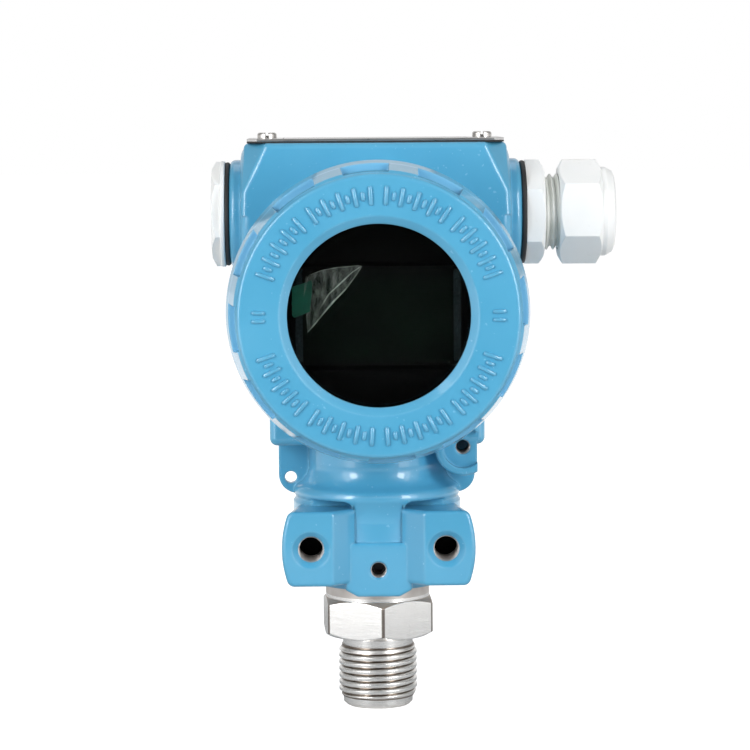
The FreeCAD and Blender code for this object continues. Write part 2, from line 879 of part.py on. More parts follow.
def block_holes():
    """The button wells and the nameplate's tapped holes in the top block."""
    holes = []
    for side in (-1, 1):
        x = side * button_spacing / 2
        well = Vector(x, 0, z_block_top - button_well_depth)
        holes.append(rod(button_diameter / 2 + slide_gap, well, Vector(x, 0, z_block_top + OVER)))
        x = side * nameplate_screw_spacing / 2
        low = Vector(x, 0, z_block_top - nameplate_screw_length - OVER / 2)
        holes.append(rod(nameplate_screw_diameter / 2, low, Vector(x, 0, z_block_top + OVER)))
    return holes


# ---------------------------------------------------------------- covers
def rim_radius(height):
    """The radius of the rim's cone at a height above the seat."""
    front = cover_height - cover_shoulder_drop
    share = (height - cover_back_round) / (front - cover_back_round)
    return cover_radius + (cover_shoulder_radius - cover_radius) * share


def rim():
    """A cover's turned rim, a cone with its back and front edges rounded off."""
    front = cover_height - cover_shoulder_drop
    return turned(
        [
            (0, 0),
            (cover_radius - cover_back_inset, 0),
            (cover_radius, cover_back_round),
            (rim_radius(front - cover_front_round), front - cover_front_round),
            (cover_shoulder_radius - cover_front_round, front),
            (0, front),
        ]
    )


def cover_blank():
    """A cover's outer form in its own frame: the seat at z 0, a rim with twelve lugs and a raised face."""
    face = rod(cover_face_radius, ORIGIN, up(cover_height))
    face = rounded(face, cover_edge_round, lambda e: is_circle(e, cover_face_radius, cover_height))
    core = rod(lug_floor_radius, ORIGIN, up(cover_height + OVER))
    lugs = rim()
    for k in range(lug_count):
        lugs = lugs.cut(lug_gap(360.0 / lug_count * (k + 0.5)).cut(core))
    return fused([face, lugs])


def lug_gap(offset):
    """The notch between two lugs, wider at its mouth than at its floor and closed towards the seat."""
    step = 360.0 / lug_count
    floor_half = math.radians(step - lug_root_angle) / 2
    mouth_half = math.radians(step - lug_crest_angle) / 2
    inner = lug_floor_radius - lug_cut_inset
    outer = cover_radius + OVER
    middle = math.radians(lug_phase + offset)
    corners = []
    for radius, half in ((inner, floor_half), (outer, mouth_half)):
        for turn in (middle - half, middle + half):
            corners.append(Vector(radius * math.sin(turn), radius * math.cos(turn), lug_gap_start))
    corners = [corners[0], corners[1], corners[3], corners[2]]
    return prism(corners, up(cover_height))


def spigot(bore):
    """The threaded part of a cover that goes into the drum, with the groove for its seal."""
    radius = cover_spigot_radius
    groove_radius = radius - cover_seal_section * seal_sunk_share
    groove_end = -cover_seal_section * seal_groove_share
    return turned(
        [
            (bore, spigot_overlap),
            (groove_radius, spigot_overlap),
            (groove_radius, groove_end),
            (radius, groove_end),
            (radius, spigot_chamfer - cover_spigot_length),
            (radius - spigot_chamfer, -cover_spigot_length),
            (bore, -cover_spigot_length),
        ]
    )


def front_cover():
    """The window cover: the glass seats from inside against a lip, and a ring screws in behind it."""
    seat = cover_height - window_lip
    opening = turned(
        [
            (0, -OVER),
            (window_ring_radius + slide_gap, -OVER),
            (window_ring_radius + slide_gap, glass_seat() - glass_thickness),
            (glass_radius + slide_gap, glass_seat() - glass_thickness),
            (glass_radius + slide_gap, seat),
            (window_radius, seat),
            (window_radius, cover_height - window_chamfer * window_chamfer_slope),
            (window_radius + window_chamfer, cover_height),
            (window_radius + window_chamfer, cover_height + OVER),
            (0, cover_height + OVER),
        ]
    )
    return facing_front(fused([cover_blank().cut(opening), spigot(cover_spigot_bore)]))


def glass_seat():
    """Where the glass's outer face lies in the cover's own frame."""
    return cover_height - window_lip - gasket_thickness


def rear_cover():
    """The blank cover: a thin face with a shallow round recess in its middle."""
    hollow = turned(
        [
            (0, -OVER),
            (cover_spigot_bore, -OVER),
            (cover_spigot_bore, cover_height - rear_face_thickness - 1.5),
            (cover_spigot_bore - 1.5, cover_height - rear_face_thickness),
            (0, cover_height - rear_face_thickness),
        ]
    )
    recess = turned(
        [
            (0, cover_height - rear_boss_recess),
            (rear_boss_radius - rear_boss_recess, cover_height - rear_boss_recess),
            (rear_boss_radius, cover_height),
            (rear_boss_radius, cover_height + OVER),
            (0, cover_height + OVER),
        ]
    )
    return facing_rear(fused([cover_blank().cut(hollow).cut(recess), spigot(cover_spigot_bore)]))


def cover_seal():
    """A cover's seal ring, in the groove behind the seat."""
    section = cover_seal_section
    centre_radius = cover_spigot_radius - section * seal_sunk_share + section / 2 + slide_gap
    return torus(centre_radius, section - 2 * slide_gap, up(-section / 2), Z_AXIS)


def front_cover_oring():
    return facing_front(cover_seal())


def rear_cover_oring():
    return facing_rear(cover_seal())


def window_gasket():
    """The flat gasket between the lip and the glass."""
    top = cover_height - window_lip
    ring = tube(glass_radius, window_radius + gasket_inset, up(top - gasket_thickness), up(top))
    return facing_front(ring)


def window_glass():
    """The toughened glass disc, with a ground chamfer on both edges."""
    top = glass_seat()
    low = top - glass_thickness
    disc = turned(
        [
            (0, low),
            (glass_radius - glass_chamfer, low),
            (glass_radius, low + glass_chamfer),
            (glass_radius, top - glass_chamfer),
            (glass_radius - glass_chamfer, top),
            (0, top),
        ]
    )
    return facing_front(disc)


def window_retaining_ring():
    """The screwed ring behind the glass, with its spanner slots."""
    top = glass_seat() - glass_thickness
    low = top - window_ring_thickness
    ring = tube(window_ring_radius, window_ring_hole, up(low), up(top))
    half = window_ring_slot_width / 2
    for k in range(window_ring_slots):
        slot = box(
            Vector(window_ring_hole - OVER, -half, low - OVER),
            Vector(window_ring_hole + window_ring_slot_length, half, low + window_ring_slot_depth),
        )
        slot.rotate(ORIGIN, Z_AXIS, (k + 0.5) * 360 / window_ring_slots)
        ring = ring.cut(slot)
    return facing_front(ring)


# ---------------------------------------------------------------- display
def display_bezel():
    """The moulding round the display, open at the back, with a bevelled window and four screw posts."""
    front = display_front
    back = front + display_depth
    body = rod(display_radius, at_y(front), at_y(back))
    body = rounded(body, display_edge_round, lambda e: is_front_rim(e, front))
    inside = rod(display_radius - display_wall, at_y(front + display_wall), at_y(back + OVER))
    half_x = display_window_width / 2
    half_z = display_window_height / 2
    bevel = display_window_bevel
    low = Part.makePolygon(upright_rectangle(half_x, half_z, lcd_front(), z_display))
    high = Part.makePolygon(upright_rectangle(half_x + bevel, half_z + bevel, front, z_display))
    window = Part.makeLoft([low, high], True, True)
    posts = []
    for x, z in standoff_places():
        posts.append(rod(board_post_diameter / 2, at_y(lcd_front(), z, x), at_y(back, z, x)))
    return fused([body.cut(inside).cut(window)] + posts).cut(lcd_outline(slide_gap))


def is_front_rim(edge, y):
    """Whether an edge is a circle, or a part of one, at that place along Y."""
    return isinstance(edge.Curve, Part.Circle) and abs(edge.Curve.Center.y - y) < 1e-3


def lcd_outline(gap):
    """The display glass's outer block, larger by `gap` on each side that doesn't seat."""
    half_x = display_window_width / 2 + lcd_margin + gap
    half_z = display_window_height / 2 + lcd_margin + gap
    front = lcd_front()
    return box(
        Vector(-half_x, front, z_display - half_z),
        Vector(half_x, front + lcd_thickness + gap, z_display + half_z),
    )


def upright_rectangle(half_x, half_z, y, centre_z):
    corners = [(-half_x, -half_z), (half_x, -half_z), (half_x, half_z), (-half_x, half_z)]
    points = [Vector(x, y, centre_z + z) for x, z in corners]
    return points + points[:1]


def standoff_places():
    """Where the four board pillars stand, as (x, z)."""
    places = []
    for k in range(4):
        angle = math.radians(45 + 90 * k)
        places.append((standoff_circle * math.cos(angle), z_drum + standoff_circle * math.sin(angle)))
    return places


def lcd_front():
    return display_front + display_wall


def lcd_panel():
    """The display's glass sandwich in its frame, behind the bezel's window; the view lies deeper."""
    front = lcd_front()
    view = box(
        Vector(-lcd_view_width / 2, front - OVER, z_lcd_view - lcd_view_height / 2),
        Vector(lcd_view_width / 2, front + lcd_view_recess, z_lcd_view + lcd_view_height / 2),
    )
    return lcd_outline(0).cut(view)


def film_corner():
    """The film's upper left corner, before it is lifted."""
    x = film_margin - display_window_width / 2
    return Vector(x, lcd_front(), z_display + display_window_height / 2 - film_inset)


def film_fold():
    """The two ends of the slanting fold: on the film's top edge and on its left edge."""
    corner = film_corner()
    return corner + Vector(film_fold_top, 0, 0), corner - Vector(0, 0, film_fold_side)


def protective_film():
    """The clear film on the display, flat but for its upper left corner, lifted along a slanting fold."""
    corner = film_corner()
    width = display_window_width - film_margin - film_right_margin
    height = display_window_height - 2 * film_inset
    fold_top, fold_side = film_fold()
    flat = prism(
        [
            fold_top,
            corner + Vector(width, 0, 0),
            corner + Vector(width, 0, -height),
            corner + Vector(0, 0, -height),
            fold_side,
        ],
        Y_AXIS * -film_thickness,
    )
    tip = corner - Y_AXIS * film_lift
    flap = prism([fold_top, fold_side, tip], flap_normal() * film_thickness)
    return fused([flat, flap])


def flap_normal():
    """The lifted corner's outward direction."""
    fold_top, fold_side = film_fold()
    tip = film_corner() - Y_AXIS * film_lift
    normal = (fold_side - fold_top).cross(tip - fold_top).normalize()
    return normal if normal.y < 0 else -normal


def on_flap(x, z):
    """The point of the lifted corner's inner face at a place seen from the front."""
    normal = flap_normal()
    start = film_fold()[0]
    y = start.y - (normal.x * (x - start.x) + normal.z * (z - start.z)) / normal.y
    return Vector(x, y, z)


def film_pull_tab():
    """The green tab stuck on the lifted corner, past the film's left edge."""
    corner = film_corner()
    left = corner.x - tab_overhang
    right = left + tab_width
    top = corner.z - tab_drop
    low = top - tab_height
    normal = flap_normal()
    outline = ((left, top), (right, top), (right, low), (left, low))
    corners = [on_flap(x, z) + normal * film_thickness for x, z in outline]
    return prism(corners, normal * tab_thickness)


def display_board():
    """The round board behind the display."""
    front = display_front + display_depth
    board = rod(board_radius, at_y(front), at_y(front + board_thickness))
    return board.cut(board_holes(front))


def board_holes(front):
    """Clearance holes for the four board screws."""
    holes = []
    for x, z in standoff_places():
        start = at_y(front - OVER, z, x)
        holes.append(rod(board_hole_diameter / 2, start, start + Y_AXIS * (board_thickness + 2 * OVER)))
    return holes


def board_standoffs():
    """Four pillars between the display board and the main board."""
    front = display_front + display_depth + board_thickness
    pillars = []
    for x, z in standoff_places():
        pillars.append(rod(standoff_diameter / 2, at_y(front, z, x), at_y(main_board_front, z, x)))
    return Part.Compound(pillars)


def main_board():
    """The main board with its potted converter in front and the lead's plug on its rear side."""
    front = main_board_front
    back = front + board_thickness
    board = rod(board_radius, at_y(front), at_y(back)).cut(board_holes(front))
    potting_z = z_drum + main_board_potting_rise
    potting_front = at_y(front - main_board_potting, potting_z)
    potting = rod(main_board_potting_radius, potting_front, at_y(front, potting_z))
    lead_end = LEAD_POINTS[-1]
    half = main_board_plug_width / 2
    plug_back = lead_end.y + lead_diameter / 2 + main_board_plug_wall
    plug = box(Vector(-half, back, lead_end.z), Vector(half, plug_back, lead_end.z + main_board_plug_height))
    return fused([board, potting, plug])


def board_pillars():
    """Four pillars from the bulkhead to the main board."""
    pillars = []
    back = main_board_front + board_thickness
    for x, z in standoff_places():
        pillars.append(rod(standoff_diameter / 2, at_y(back, z, x), at_y(bulkhead_front, z, x)))
    return Part.Compound(pillars)


# ---------------------------------------------------------------- terminals
def terminal_block():
    """The moulded block on the bulkhead, with barriers between its terminals and a tunnel for each wire."""
    z = z_drum - terminal_block_drop
    low, high = z - terminal_block_height / 2, z + terminal_block_height / 2
    half_width = terminal_count * terminal_pitch / 2 + terminal_barrier + terminal_end_wall
    back = bulkhead_rear + terminal_block_depth
    block = box(Vector(-half_width, bulkhead_rear, low), Vector(half_width, back, high))
    parts = [rounded(block, terminal_edge_round, lambda e: e.BoundBox.YLength > 1)]
    half = terminal_barrier / 2
    for k in range(terminal_count + 1):
        x = (k - terminal_count / 2) * terminal_pitch
        barrier_low = Vector(x - half, back - OVER, low)
        parts.append(box(barrier_low, Vector(x + half, back + terminal_barrier_height, high)))
    solid = fused(parts)
    half = terminal_tunnel_width / 2
    near = back - terminal_tunnel_depth
    for x in terminal_places():
        hole_end = at_y(back - terminal_hole_depth, z, x)
        hole = rod(terminal_hole_diameter / 2, hole_end, at_y(back + OVER, z, x))
        tunnel_low = Vector(x - half, near - terminal_tunnel_height, low - OVER)
        tunnel = box(tunnel_low, Vector(x + half, near, z - terminal_hole_diameter))
        solid = solid.cut(hole).cut(tunnel)
    return solid


def terminal_places():
    return [(k - (terminal_count - 1) / 2) * terminal_pitch for k in range(terminal_count)]


def terminal_plates():
    """The plated clamp plate under each terminal screw."""
    z = z_drum - terminal_block_drop
    back = bulkhead_rear + terminal_block_depth
    half = (terminal_pitch - terminal_barrier) / 2 - terminal_plate_gap
    plates = []
    for x in terminal_places():
        plate_high = Vector(x + half, back + terminal_plate_thickness, z + half)
        plate = box(Vector(x - half, back, z - half), plate_high)
        hole = rod(terminal_hole_diameter / 2, at_y(back - OVER, z, x), at_y(back + 2 * OVER, z, x))
        plates.append(plate.cut(hole))
    return Part.Compound(plates)


def pan_screw(head_diameter, head_height, thread, length):
    """A pan-head screw standing on z 0, its shank downwards, with a slot and a short cross slot."""
    head = rod(head_diameter / 2, ORIGIN, up(head_height))
    dome = head_height * pan_dome_share
    head = rounded(head, dome, lambda e: is_circle(e, head_diameter / 2, head_height))
    screw = fused([head, rod(thread / 2, up(-length), up(dome / 2))])
    width = head_diameter * pan_slot_width_share
    for turn, reach in ((90, head_diameter), (180, head_diameter * pan_cross_share)):
        slot = box(
            Vector(-reach / 2, -width / 2, dome),
            Vector(reach / 2, width / 2, head_height + OVER),
        )
        slot.rotate(ORIGIN, Z_AXIS, turn)
        screw = screw.cut(slot)
    return screw


def terminal_screws():
    """One clamp screw for each terminal."""
    z = z_drum - terminal_block_drop
    face = bulkhead_rear + terminal_block_depth + terminal_plate_thickness
    screws = []
    for x in terminal_places():
        screw = pan_screw(
            terminal_screw_diameter,
            terminal_screw_height,
            terminal_thread_diameter,
            terminal_thread_length,
        )
        screw.Placement = Placement(at_y(face, z, x), Rotation(X_AXIS, -90))
        screws.append(screw)
    return Part.Compound(screws)


def inner_earth_screw():
    """The earth screw in the terminal compartment's bulkhead."""
    screw = pan_screw(
        inner_earth_head_diameter,
        inner_earth_head_height,
        inner_earth_thread_diameter,
        inner_earth_thread_length,
    )
    screw.Placement = Placement(inner_earth_seat(), Rotation(X_AXIS, -90))
    return screw


def inner_earth_seat():
    """Where the inner earth screw's head stands on the bulkhead."""
    return at_y(bulkhead_rear, z_drum + inner_earth_rise, inner_earth_offset)


def feedthrough():
    """The sealed feedthrough that carries the loop from the terminals through the bulkhead."""
    radius = feedthrough_diameter / 2
    return rod(radius - slide_gap, at_y(bulkhead_front - 1.5), at_y(bulkhead_rear))


# ---------------------------------------------------------------- nameplate and buttons
def nameplate_outline(low, high):
    """A rectangle with cut corners, seen from above, between two heights."""
    half_x, half_y, cut = nameplate_width / 2, nameplate_depth / 2, nameplate_corner
    points = []
    for sx, sy, first in ((-1, -1, "y"), (1, -1, "x"), (1, 1, "y"), (-1, 1, "x")):
        along_x = Vector(sx * (half_x - cut), sy * half_y, low)
        along_y = Vector(sx * half_x, sy * (half_y - cut), low)
        points += [along_y, along_x] if first == "y" else [along_x, along_y]
    return prism(points, up(high - low))


def swing_axis():
    return Vector(-nameplate_screw_spacing / 2, 0, 0)


def nameplate():
    """The plate over the buttons: it turns about its left screw, and a curved slot leaves the right one."""
    low = z_nameplate + seat_gap
    high = low + nameplate_thickness
    plate = nameplate_outline(low, high)
    pivot = swing_axis()
    hole = rod(nameplate_screw_diameter / 2 + slide_gap, pivot + up(low - OVER), pivot + up(high + OVER))
    slot_half = nameplate_screw_diameter / 2 + nameplate_slot_gap
    reach = nameplate_screw_spacing
    swept = tube(reach + slot_half, reach - slot_half, pivot + up(low - OVER), pivot + up(high + OVER))
    behind = box(Vector(0, 0, low - OVER), Vector(nameplate_width, nameplate_depth, high + OVER))
    end = rod(slot_half, Vector(-pivot.x, 0, low - OVER), Vector(-pivot.x, 0, high + OVER))
    return plate.cut(hole).cut(swept.common(behind)).cut(end)


def nameplate_gasket_sheet():
    """The rubber sheet between the block and the nameplate, cut out over the buttons and the screws."""
    sheet = nameplate_outline(z_block_top, z_nameplate)
    openings = [
        (nameplate_screw_spacing / 2, nameplate_screw_diameter / 2 + gasket_hole_gap),
        (button_spacing / 2, button_diameter / 2 + gasket_button_gap),
    ]
    for place, radius in openings:
        for x in (-place, place):
            low = Vector(x, 0, z_block_top - OVER)
            sheet = sheet.cut(rod(radius, low, Vector(x, 0, z_nameplate + OVER)))
    return sheet


def nameplate_screws():
    """The two pan-head screws of the nameplate; their slots point to the front."""
    seat = z_nameplate + nameplate_thickness + 2 * seat_gap
    screws = []
    for side in (-1, 1):
        screw = pan_screw(
            nameplate_head_diameter,
            nameplate_head_height,
            nameplate_screw_diameter - 2 * slide_gap,
            nameplate_screw_length,
        )
        screw.translate(Vector(side * nameplate_screw_spacing / 2, 0, seat))
        screws.append(screw)
    return Part.Compound(screws)


def button(side):
    """A round key in its well, with a stem for the return spring and a shallow dish on top."""
    x = side * button_spacing / 2
    top = button_top()
    low = top - button_height
    radius = button_diameter / 2 - slide_gap
    key = rod(radius, Vector(x, 0, low), Vector(x, 0, top))
    key = rounded(key, button_edge_round, lambda e: is_circle(e, radius, top))
    stem_low = Vector(x, 0, low - button_stem_length)
    stem = rod(button_stem_diameter / 2, stem_low, Vector(x, 0, low + button_edge_round))
    dish = Part.makeSphere(button_dish_radius, Vector(x, 0, top + button_dish_radius - button_dish_depth))
    return fused([key, stem]).cut(dish)


def button_top():
    """The height of a released button, a little under the nameplate."""
    return z_block_top + nameplate_gasket * button_rise_share


def zero_button():
    return button(-1)


def span_button():
    return button(1)


def button_spring(side):
    """The compression spring between a button and the bottom of its well."""
    x = side * button_spacing / 2
    low = z_block_top - button_well_depth
    high = button_top() - button_height
    radius = button_stem_diameter / 2 + spring_wire / 2 + spring_stem_gap
    pitch = (high - low - spring_wire) / spring_turns
    helix = Part.makeHelix(pitch, pitch * spring_turns, radius)
    section = Part.Wire(Part.Circle(Vector(radius, 0, 0), Y_AXIS, spring_wire / 2).toShape())
    coil = Part.Wire(helix.Edges).makePipeShell([section], True, True)
    coil.translate(Vector(x, 0, low + spring_wire / 2))
    return coil


def zero_spring():
    return button_spring(-1)


def span_spring():
    return button_spring(1)


# ---------------------------------------------------------------- conduit fittings
def gland_base():
    """Where the gland's hexagon starts in its own frame, on its washer."""
    return gland_washer_thickness


def gland_body():
    """The gland's hexagon with the threaded shank into the housing and the threaded neck for the nut."""
    base = gland_base()
    neck_start = base + gland_base_height
    hexagonal = hexagon(gland_flats, gland_base_height, base, gland_base_turn, 1.0, top_only=True)
    shank = rod(gland_shank_diameter / 2, up(-gland_shank_length), up(base))
    neck_part = rod(gland_thread_diameter / 2, up(neck_start), up(neck_start + gland_neck_length))
    solid = fused([hexagonal, shank, neck_part])
    wide = rod(gland_bore / 2 + gland_bore_step, up(neck_start), up(neck_start + gland_neck_length + OVER))
    narrow = rod(gland_entry_bore / 2, up(-gland_shank_length - OVER), up(neck_start + OVER))
    return facing_right(solid.cut(wide).cut(narrow))


def gland_washer():
    """The black seal between the gland's hexagon and the boss."""
    outer = boss_radius - gland_washer_inset
    ring = tube(outer, gland_shank_diameter / 2 + washer_gap, ORIGIN, up(gland_washer_thickness))
    ring = rounded(ring, washer_edge_round, lambda e: is_circle(e, outer))
    return facing_right(ring)


def gland_nut_start():
    return gland_base() + gland_base_height + gland_nut_gap


def gland_nut():
    """The dome nut: a hexagon with a chamfered end, a tapering nose and a round cable opening."""
    start = gland_nut_start()
    end = start + gland_nut_length
    thread_end = end - gland_nut_thread_inset
    taper_end = end + gland_nose_length * gland_nose_taper_share
    thread_radius = gland_thread_diameter / 2 + slide_gap
    hexagonal = hexagon(gland_flats, gland_nut_length, start, gland_nut_turn, 1.0)
    nose = turned(
        [
            (0, end - OVER),
            (gland_nose_radius, end - OVER),
            (gland_nose_radius, end + gland_nose_length * gland_nose_straight_share),
            (gland_nose_tip_radius + gland_nose_tip_width, taper_end),
            (gland_nose_tip_radius, end + gland_nose_length),
            (0, end + gland_nose_length),
        ]
    )
    solid = fused([hexagonal, nose])
    thread = rod(thread_radius, up(start - OVER), up(thread_end))
    taper = Part.makeCone(thread_radius, gland_nut_opening / 2, gland_nose_length, up(thread_end))
    opening = rod(gland_nut_opening / 2, up(end - OVER), up(end + gland_nose_length + OVER))
    return facing_right(solid.cut(thread).cut(taper).cut(opening))


def gland_seal():
    """The rubber insert that the nut squeezes round the cable."""
    thread_end = gland_nut_start() + gland_nut_length - gland_nut_thread_inset
    end = thread_end + gland_nose_length / 2
    start = end - gland_seal_length
    radius = gland_bore / 2
    seal = turned(
        [
            (gland_seal_bore / 2, start),
            (radius, start),
            (radius, end - gland_seal_taper_length),
            (radius - gland_seal_taper, end),
            (gland_seal_bore / 2, end),
        ]
    )
    return facing_right(seal)


def blanking_plug():
    """The moulded plug of the unused conduit: a round flange, a hexagon and a hollow threaded shank."""
    base = plug_washer_thickness
    top = base + plug_flange_thickness
    flange = rod(plug_flange_radius, up(base), up(top))
    flange = rounded(flange, plug_flange_round, lambda e: is_circle(e, plug_flange_radius))
    head_low = top - plug_overlap
    head_height = plug_head_height + plug_overlap
    head = hexagon(plug_flats, head_height, head_low, plug_hex_turn, 1.0, top_only=True)
    shank = rod(gland_shank_diameter / 2, up(-plug_shank_length), up(base + plug_overlap))
    solid = fused([flange, head, shank])
    hollow = rod(plug_recess_radius, up(-plug_shank_length - OVER), up(base - plug_recess_depth))
    return facing_left(solid.cut(hollow))


def plug_washer():
    """The black seal between the plug's flange and the boss."""
    outer = plug_flange_radius - plug_washer_inset
    ring = tube(outer, gland_shank_diameter / 2 + washer_gap, ORIGIN, up(plug_washer_thickness))
    ring = rounded(ring, washer_edge_round, lambda e: is_circle(e, outer))
    return facing_left(ring)


# ---------------------------------------------------------------- process connection
def process_connection():
    """The hexagon with its male thread, collar and shank, bored for the pressure port and the capsule."""
    radius = pilot_diameter / 2
    pilot = turned(
        [
            (0, 0),
            (radius - pilot_chamfer, 0),
            (radius, pilot_chamfer),
            (radius, z_thread + OVER / 2),
            (0, z_thread + OVER / 2),
        ]
    )
    shank_top = z_foot + shank_length
    shank_low = z_foot + collar_depth
    groove_low = shank_top - shank_groove_drop
    groove_high = groove_low + shank_groove_height()
    solids = [
        pilot,
        rod(thread_diameter / 2, up(z_thread), up(z_relief)),
        rod(relief_diameter / 2, up(z_relief), up(z_hex)),
        hexagon(hex_flats, hex_height, z_hex, hex_turn - 90, 1.0),
        rod(collar_diameter / 2 - 2 * slide_gap, up(z_collar), up(shank_low)),
        rod(shank_diameter / 2, up(shank_low), up(shank_top)),
    ]
    port = rod(port_diameter / 2, up(-OVER), up(capsule_seat_height + OVER))
    chamber = rod(capsule_diameter / 2 + slide_gap, up(capsule_seat_height), up(shank_top + OVER))
    outer = shank_diameter / 2
    groove = tube(outer + OVER, outer - shank_groove_depth, up(groove_low), up(groove_high))
    return fused(solids).cut(port).cut(chamber).cut(groove)


def shank_groove_height():
    return capsule_seal_section + shank_groove_play


def sensor_oring():
    """The seal ring round the shank, against the housing's socket."""
    centre_z = z_foot + shank_length - shank_groove_drop + shank_groove_height() / 2
    radius = (collar_diameter - capsule_seal_section) / 2
    return torus(radius, capsule_seal_section, up(centre_z), Z_AXIS)


def pressure_capsule():
    """The sensing capsule: a flanged can with a thin diaphragm over the port and a header on top."""
    low = capsule_seat_height + capsule_seal_thickness
    mid = low + capsule_flange_height
    top = capsule_seat_height + capsule_height
    radius = capsule_diameter / 2
    return turned(
        [
            (0, low + capsule_chamfer),
            (capsule_diaphragm_radius, low + capsule_chamfer),
            (capsule_diaphragm_radius, low),
            (radius, low),
            (radius, mid),
            (capsule_body_radius, mid),
            (capsule_body_radius, top - capsule_chamfer),
            (capsule_body_radius - capsule_chamfer, top),
            (0, top),
        ]
    )


def capsule_seal():
    """The flat seal under the capsule's flange."""
    low = capsule_seat_height
    outer = capsule_diameter / 2 - 4 * slide_gap
    return tube(outer, capsule_seal_hole / 2, up(low), up(low + capsule_seal_thickness))


def capsule_ring_nut():
    """The screwed ring that holds the capsule's flange down, with two crossing spanner slots."""
    low = capsule_seat_height + capsule_seal_thickness + capsule_flange_height
    high = low + ring_nut_height
    ring = tube(capsule_diameter / 2, ring_nut_hole / 2, up(low), up(high))
    reach = capsule_diameter
    half = ring_nut_slot_width / 2
    for turn in (0, 90):
        slot = box(Vector(-reach, -half, high - ring_nut_slot_depth), Vector(reach, half, high + OVER))
        slot.rotate(ORIGIN, Z_AXIS, turn)
        ring = ring.cut(slot)
    return ring


def lock_screw():
    """The socket set screw that keeps the process connection from turning in the foot."""
    tip = at_y(-shank_diameter / 2, z_lock)
    outwards = Y_AXIS * -1
    body = rod(lock_hole_diameter / 2 - slide_gap / 2, tip, tip + outwards * lock_screw_length)
    socket = hexagon(lock_socket_flats, lock_socket_depth + OVER, 0)
    socket_floor = tip + outwards * (lock_screw_length - lock_socket_depth)
    socket.Placement = Placement(socket_floor, Rotation(X_AXIS, 90))
    return body.cut(socket)


def sensor_lead():
    """The capsule's lead, from the header up the neck and through the passage to the main board."""
    radius = lead_diameter / 2
    points = LEAD_POINTS
    edges = []
    start = points[0]
    for before, here, after in zip(points, points[1:], points[2:]):
        into = here - before
        out = after - here
        turn = into.getAngle(out)
        cut = 0.45 * min(into.Length, out.Length)
        bend = cut / math.tan(turn / 2)
        first = here - into.normalize() * cut
        last = here + out.normalize() * cut
        inwards = (out - into).normalize()
        middle = here + inwards * (bend / math.cos(turn / 2) - bend)
        edges.append(Part.makeLine(start, first))
        edges.append(Part.Arc(first, middle, last).toShape())
        start = last
    edges.append(Part.makeLine(start, points[-1]))
    section = Part.Wire(Part.Circle(points[0], Z_AXIS, radius).toShape())
    return Part.Wire(edges).makePipeShell([section], True, False)


SUB_PARTS = {
    "housing": housing,
    "process_connection": process_connection,
    "sensor_oring": sensor_oring,
    "pressure_capsule": pressure_capsule,
    "capsule_seal": capsule_seal,
    "capsule_ring_nut": capsule_ring_nut,
    "lock_screw": lock_screw,
    "sensor_lead": sensor_lead,
    "front_cover": front_cover,
    "front_cover_oring": front_cover_oring,
    "window_gasket": window_gasket,
    "window_glass": window_glass,
    "window_retaining_ring": window_retaining_ring,
    "rear_cover": rear_cover,
    "rear_cover_oring": rear_cover_oring,
    "display_bezel": display_bezel,
    "lcd_panel": lcd_panel,
    "protective_film": protective_film,
    "film_pull_tab": film_pull_tab,
    "display_board": display_board,
    "board_standoffs": board_standoffs,
    "main_board": main_board,
    "board_pillars": board_pillars,
    "feedthrough": feedthrough,
    "terminal_block": terminal_block,
    "terminal_plates": terminal_plates,
    "terminal_screws": terminal_screws,
    "inner_earth_screw": inner_earth_screw,
    "nameplate": nameplate,
    "nameplate_gasket": nameplate_gasket_sheet,
    "nameplate_screws": nameplate_screws,
    "zero_button": zero_button,
    "span_button": span_button,
    "zero_spring": zero_spring,
    "span_spring": span_spring,
    "gland_body": gland_body,
    "gland_washer": gland_washer,
    "gland_nut": gland_nut,
    "gland_seal": gland_seal,
    "blanking_plug": blanking_plug,
    "plug_washer": plug_washer,
}


def main():
    os.makedirs("parts", exist_ok=True)
    for name, make in SUB_PARTS.items():
        shape = make()
        print(f"{name}: {len(shape.Solids)} solids, {shape.Volume:.1f} mm3, valid {shape.isValid()}")
        shape.exportStep(f"parts/{name}.step")


main()
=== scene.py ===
"""Looks of the pressure transmitter: materials, threads, raised ticks, film, floor, light and camera."""

import json
import math

import bmesh
import bpy
from mathutils import Matrix, Vector


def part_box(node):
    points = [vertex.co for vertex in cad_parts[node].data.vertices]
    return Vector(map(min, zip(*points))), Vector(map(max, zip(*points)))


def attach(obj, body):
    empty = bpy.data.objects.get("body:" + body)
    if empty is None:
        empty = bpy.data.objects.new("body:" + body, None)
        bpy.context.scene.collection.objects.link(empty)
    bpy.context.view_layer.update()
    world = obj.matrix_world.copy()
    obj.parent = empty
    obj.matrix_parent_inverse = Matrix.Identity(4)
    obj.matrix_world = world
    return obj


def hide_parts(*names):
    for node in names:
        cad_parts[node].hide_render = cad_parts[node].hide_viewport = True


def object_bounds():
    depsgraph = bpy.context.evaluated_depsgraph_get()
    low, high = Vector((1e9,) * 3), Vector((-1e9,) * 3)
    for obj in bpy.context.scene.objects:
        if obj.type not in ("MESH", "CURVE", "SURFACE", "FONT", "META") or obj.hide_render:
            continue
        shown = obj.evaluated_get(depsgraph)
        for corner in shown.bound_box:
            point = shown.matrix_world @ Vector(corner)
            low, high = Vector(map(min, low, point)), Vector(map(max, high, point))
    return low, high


MM = 0.001

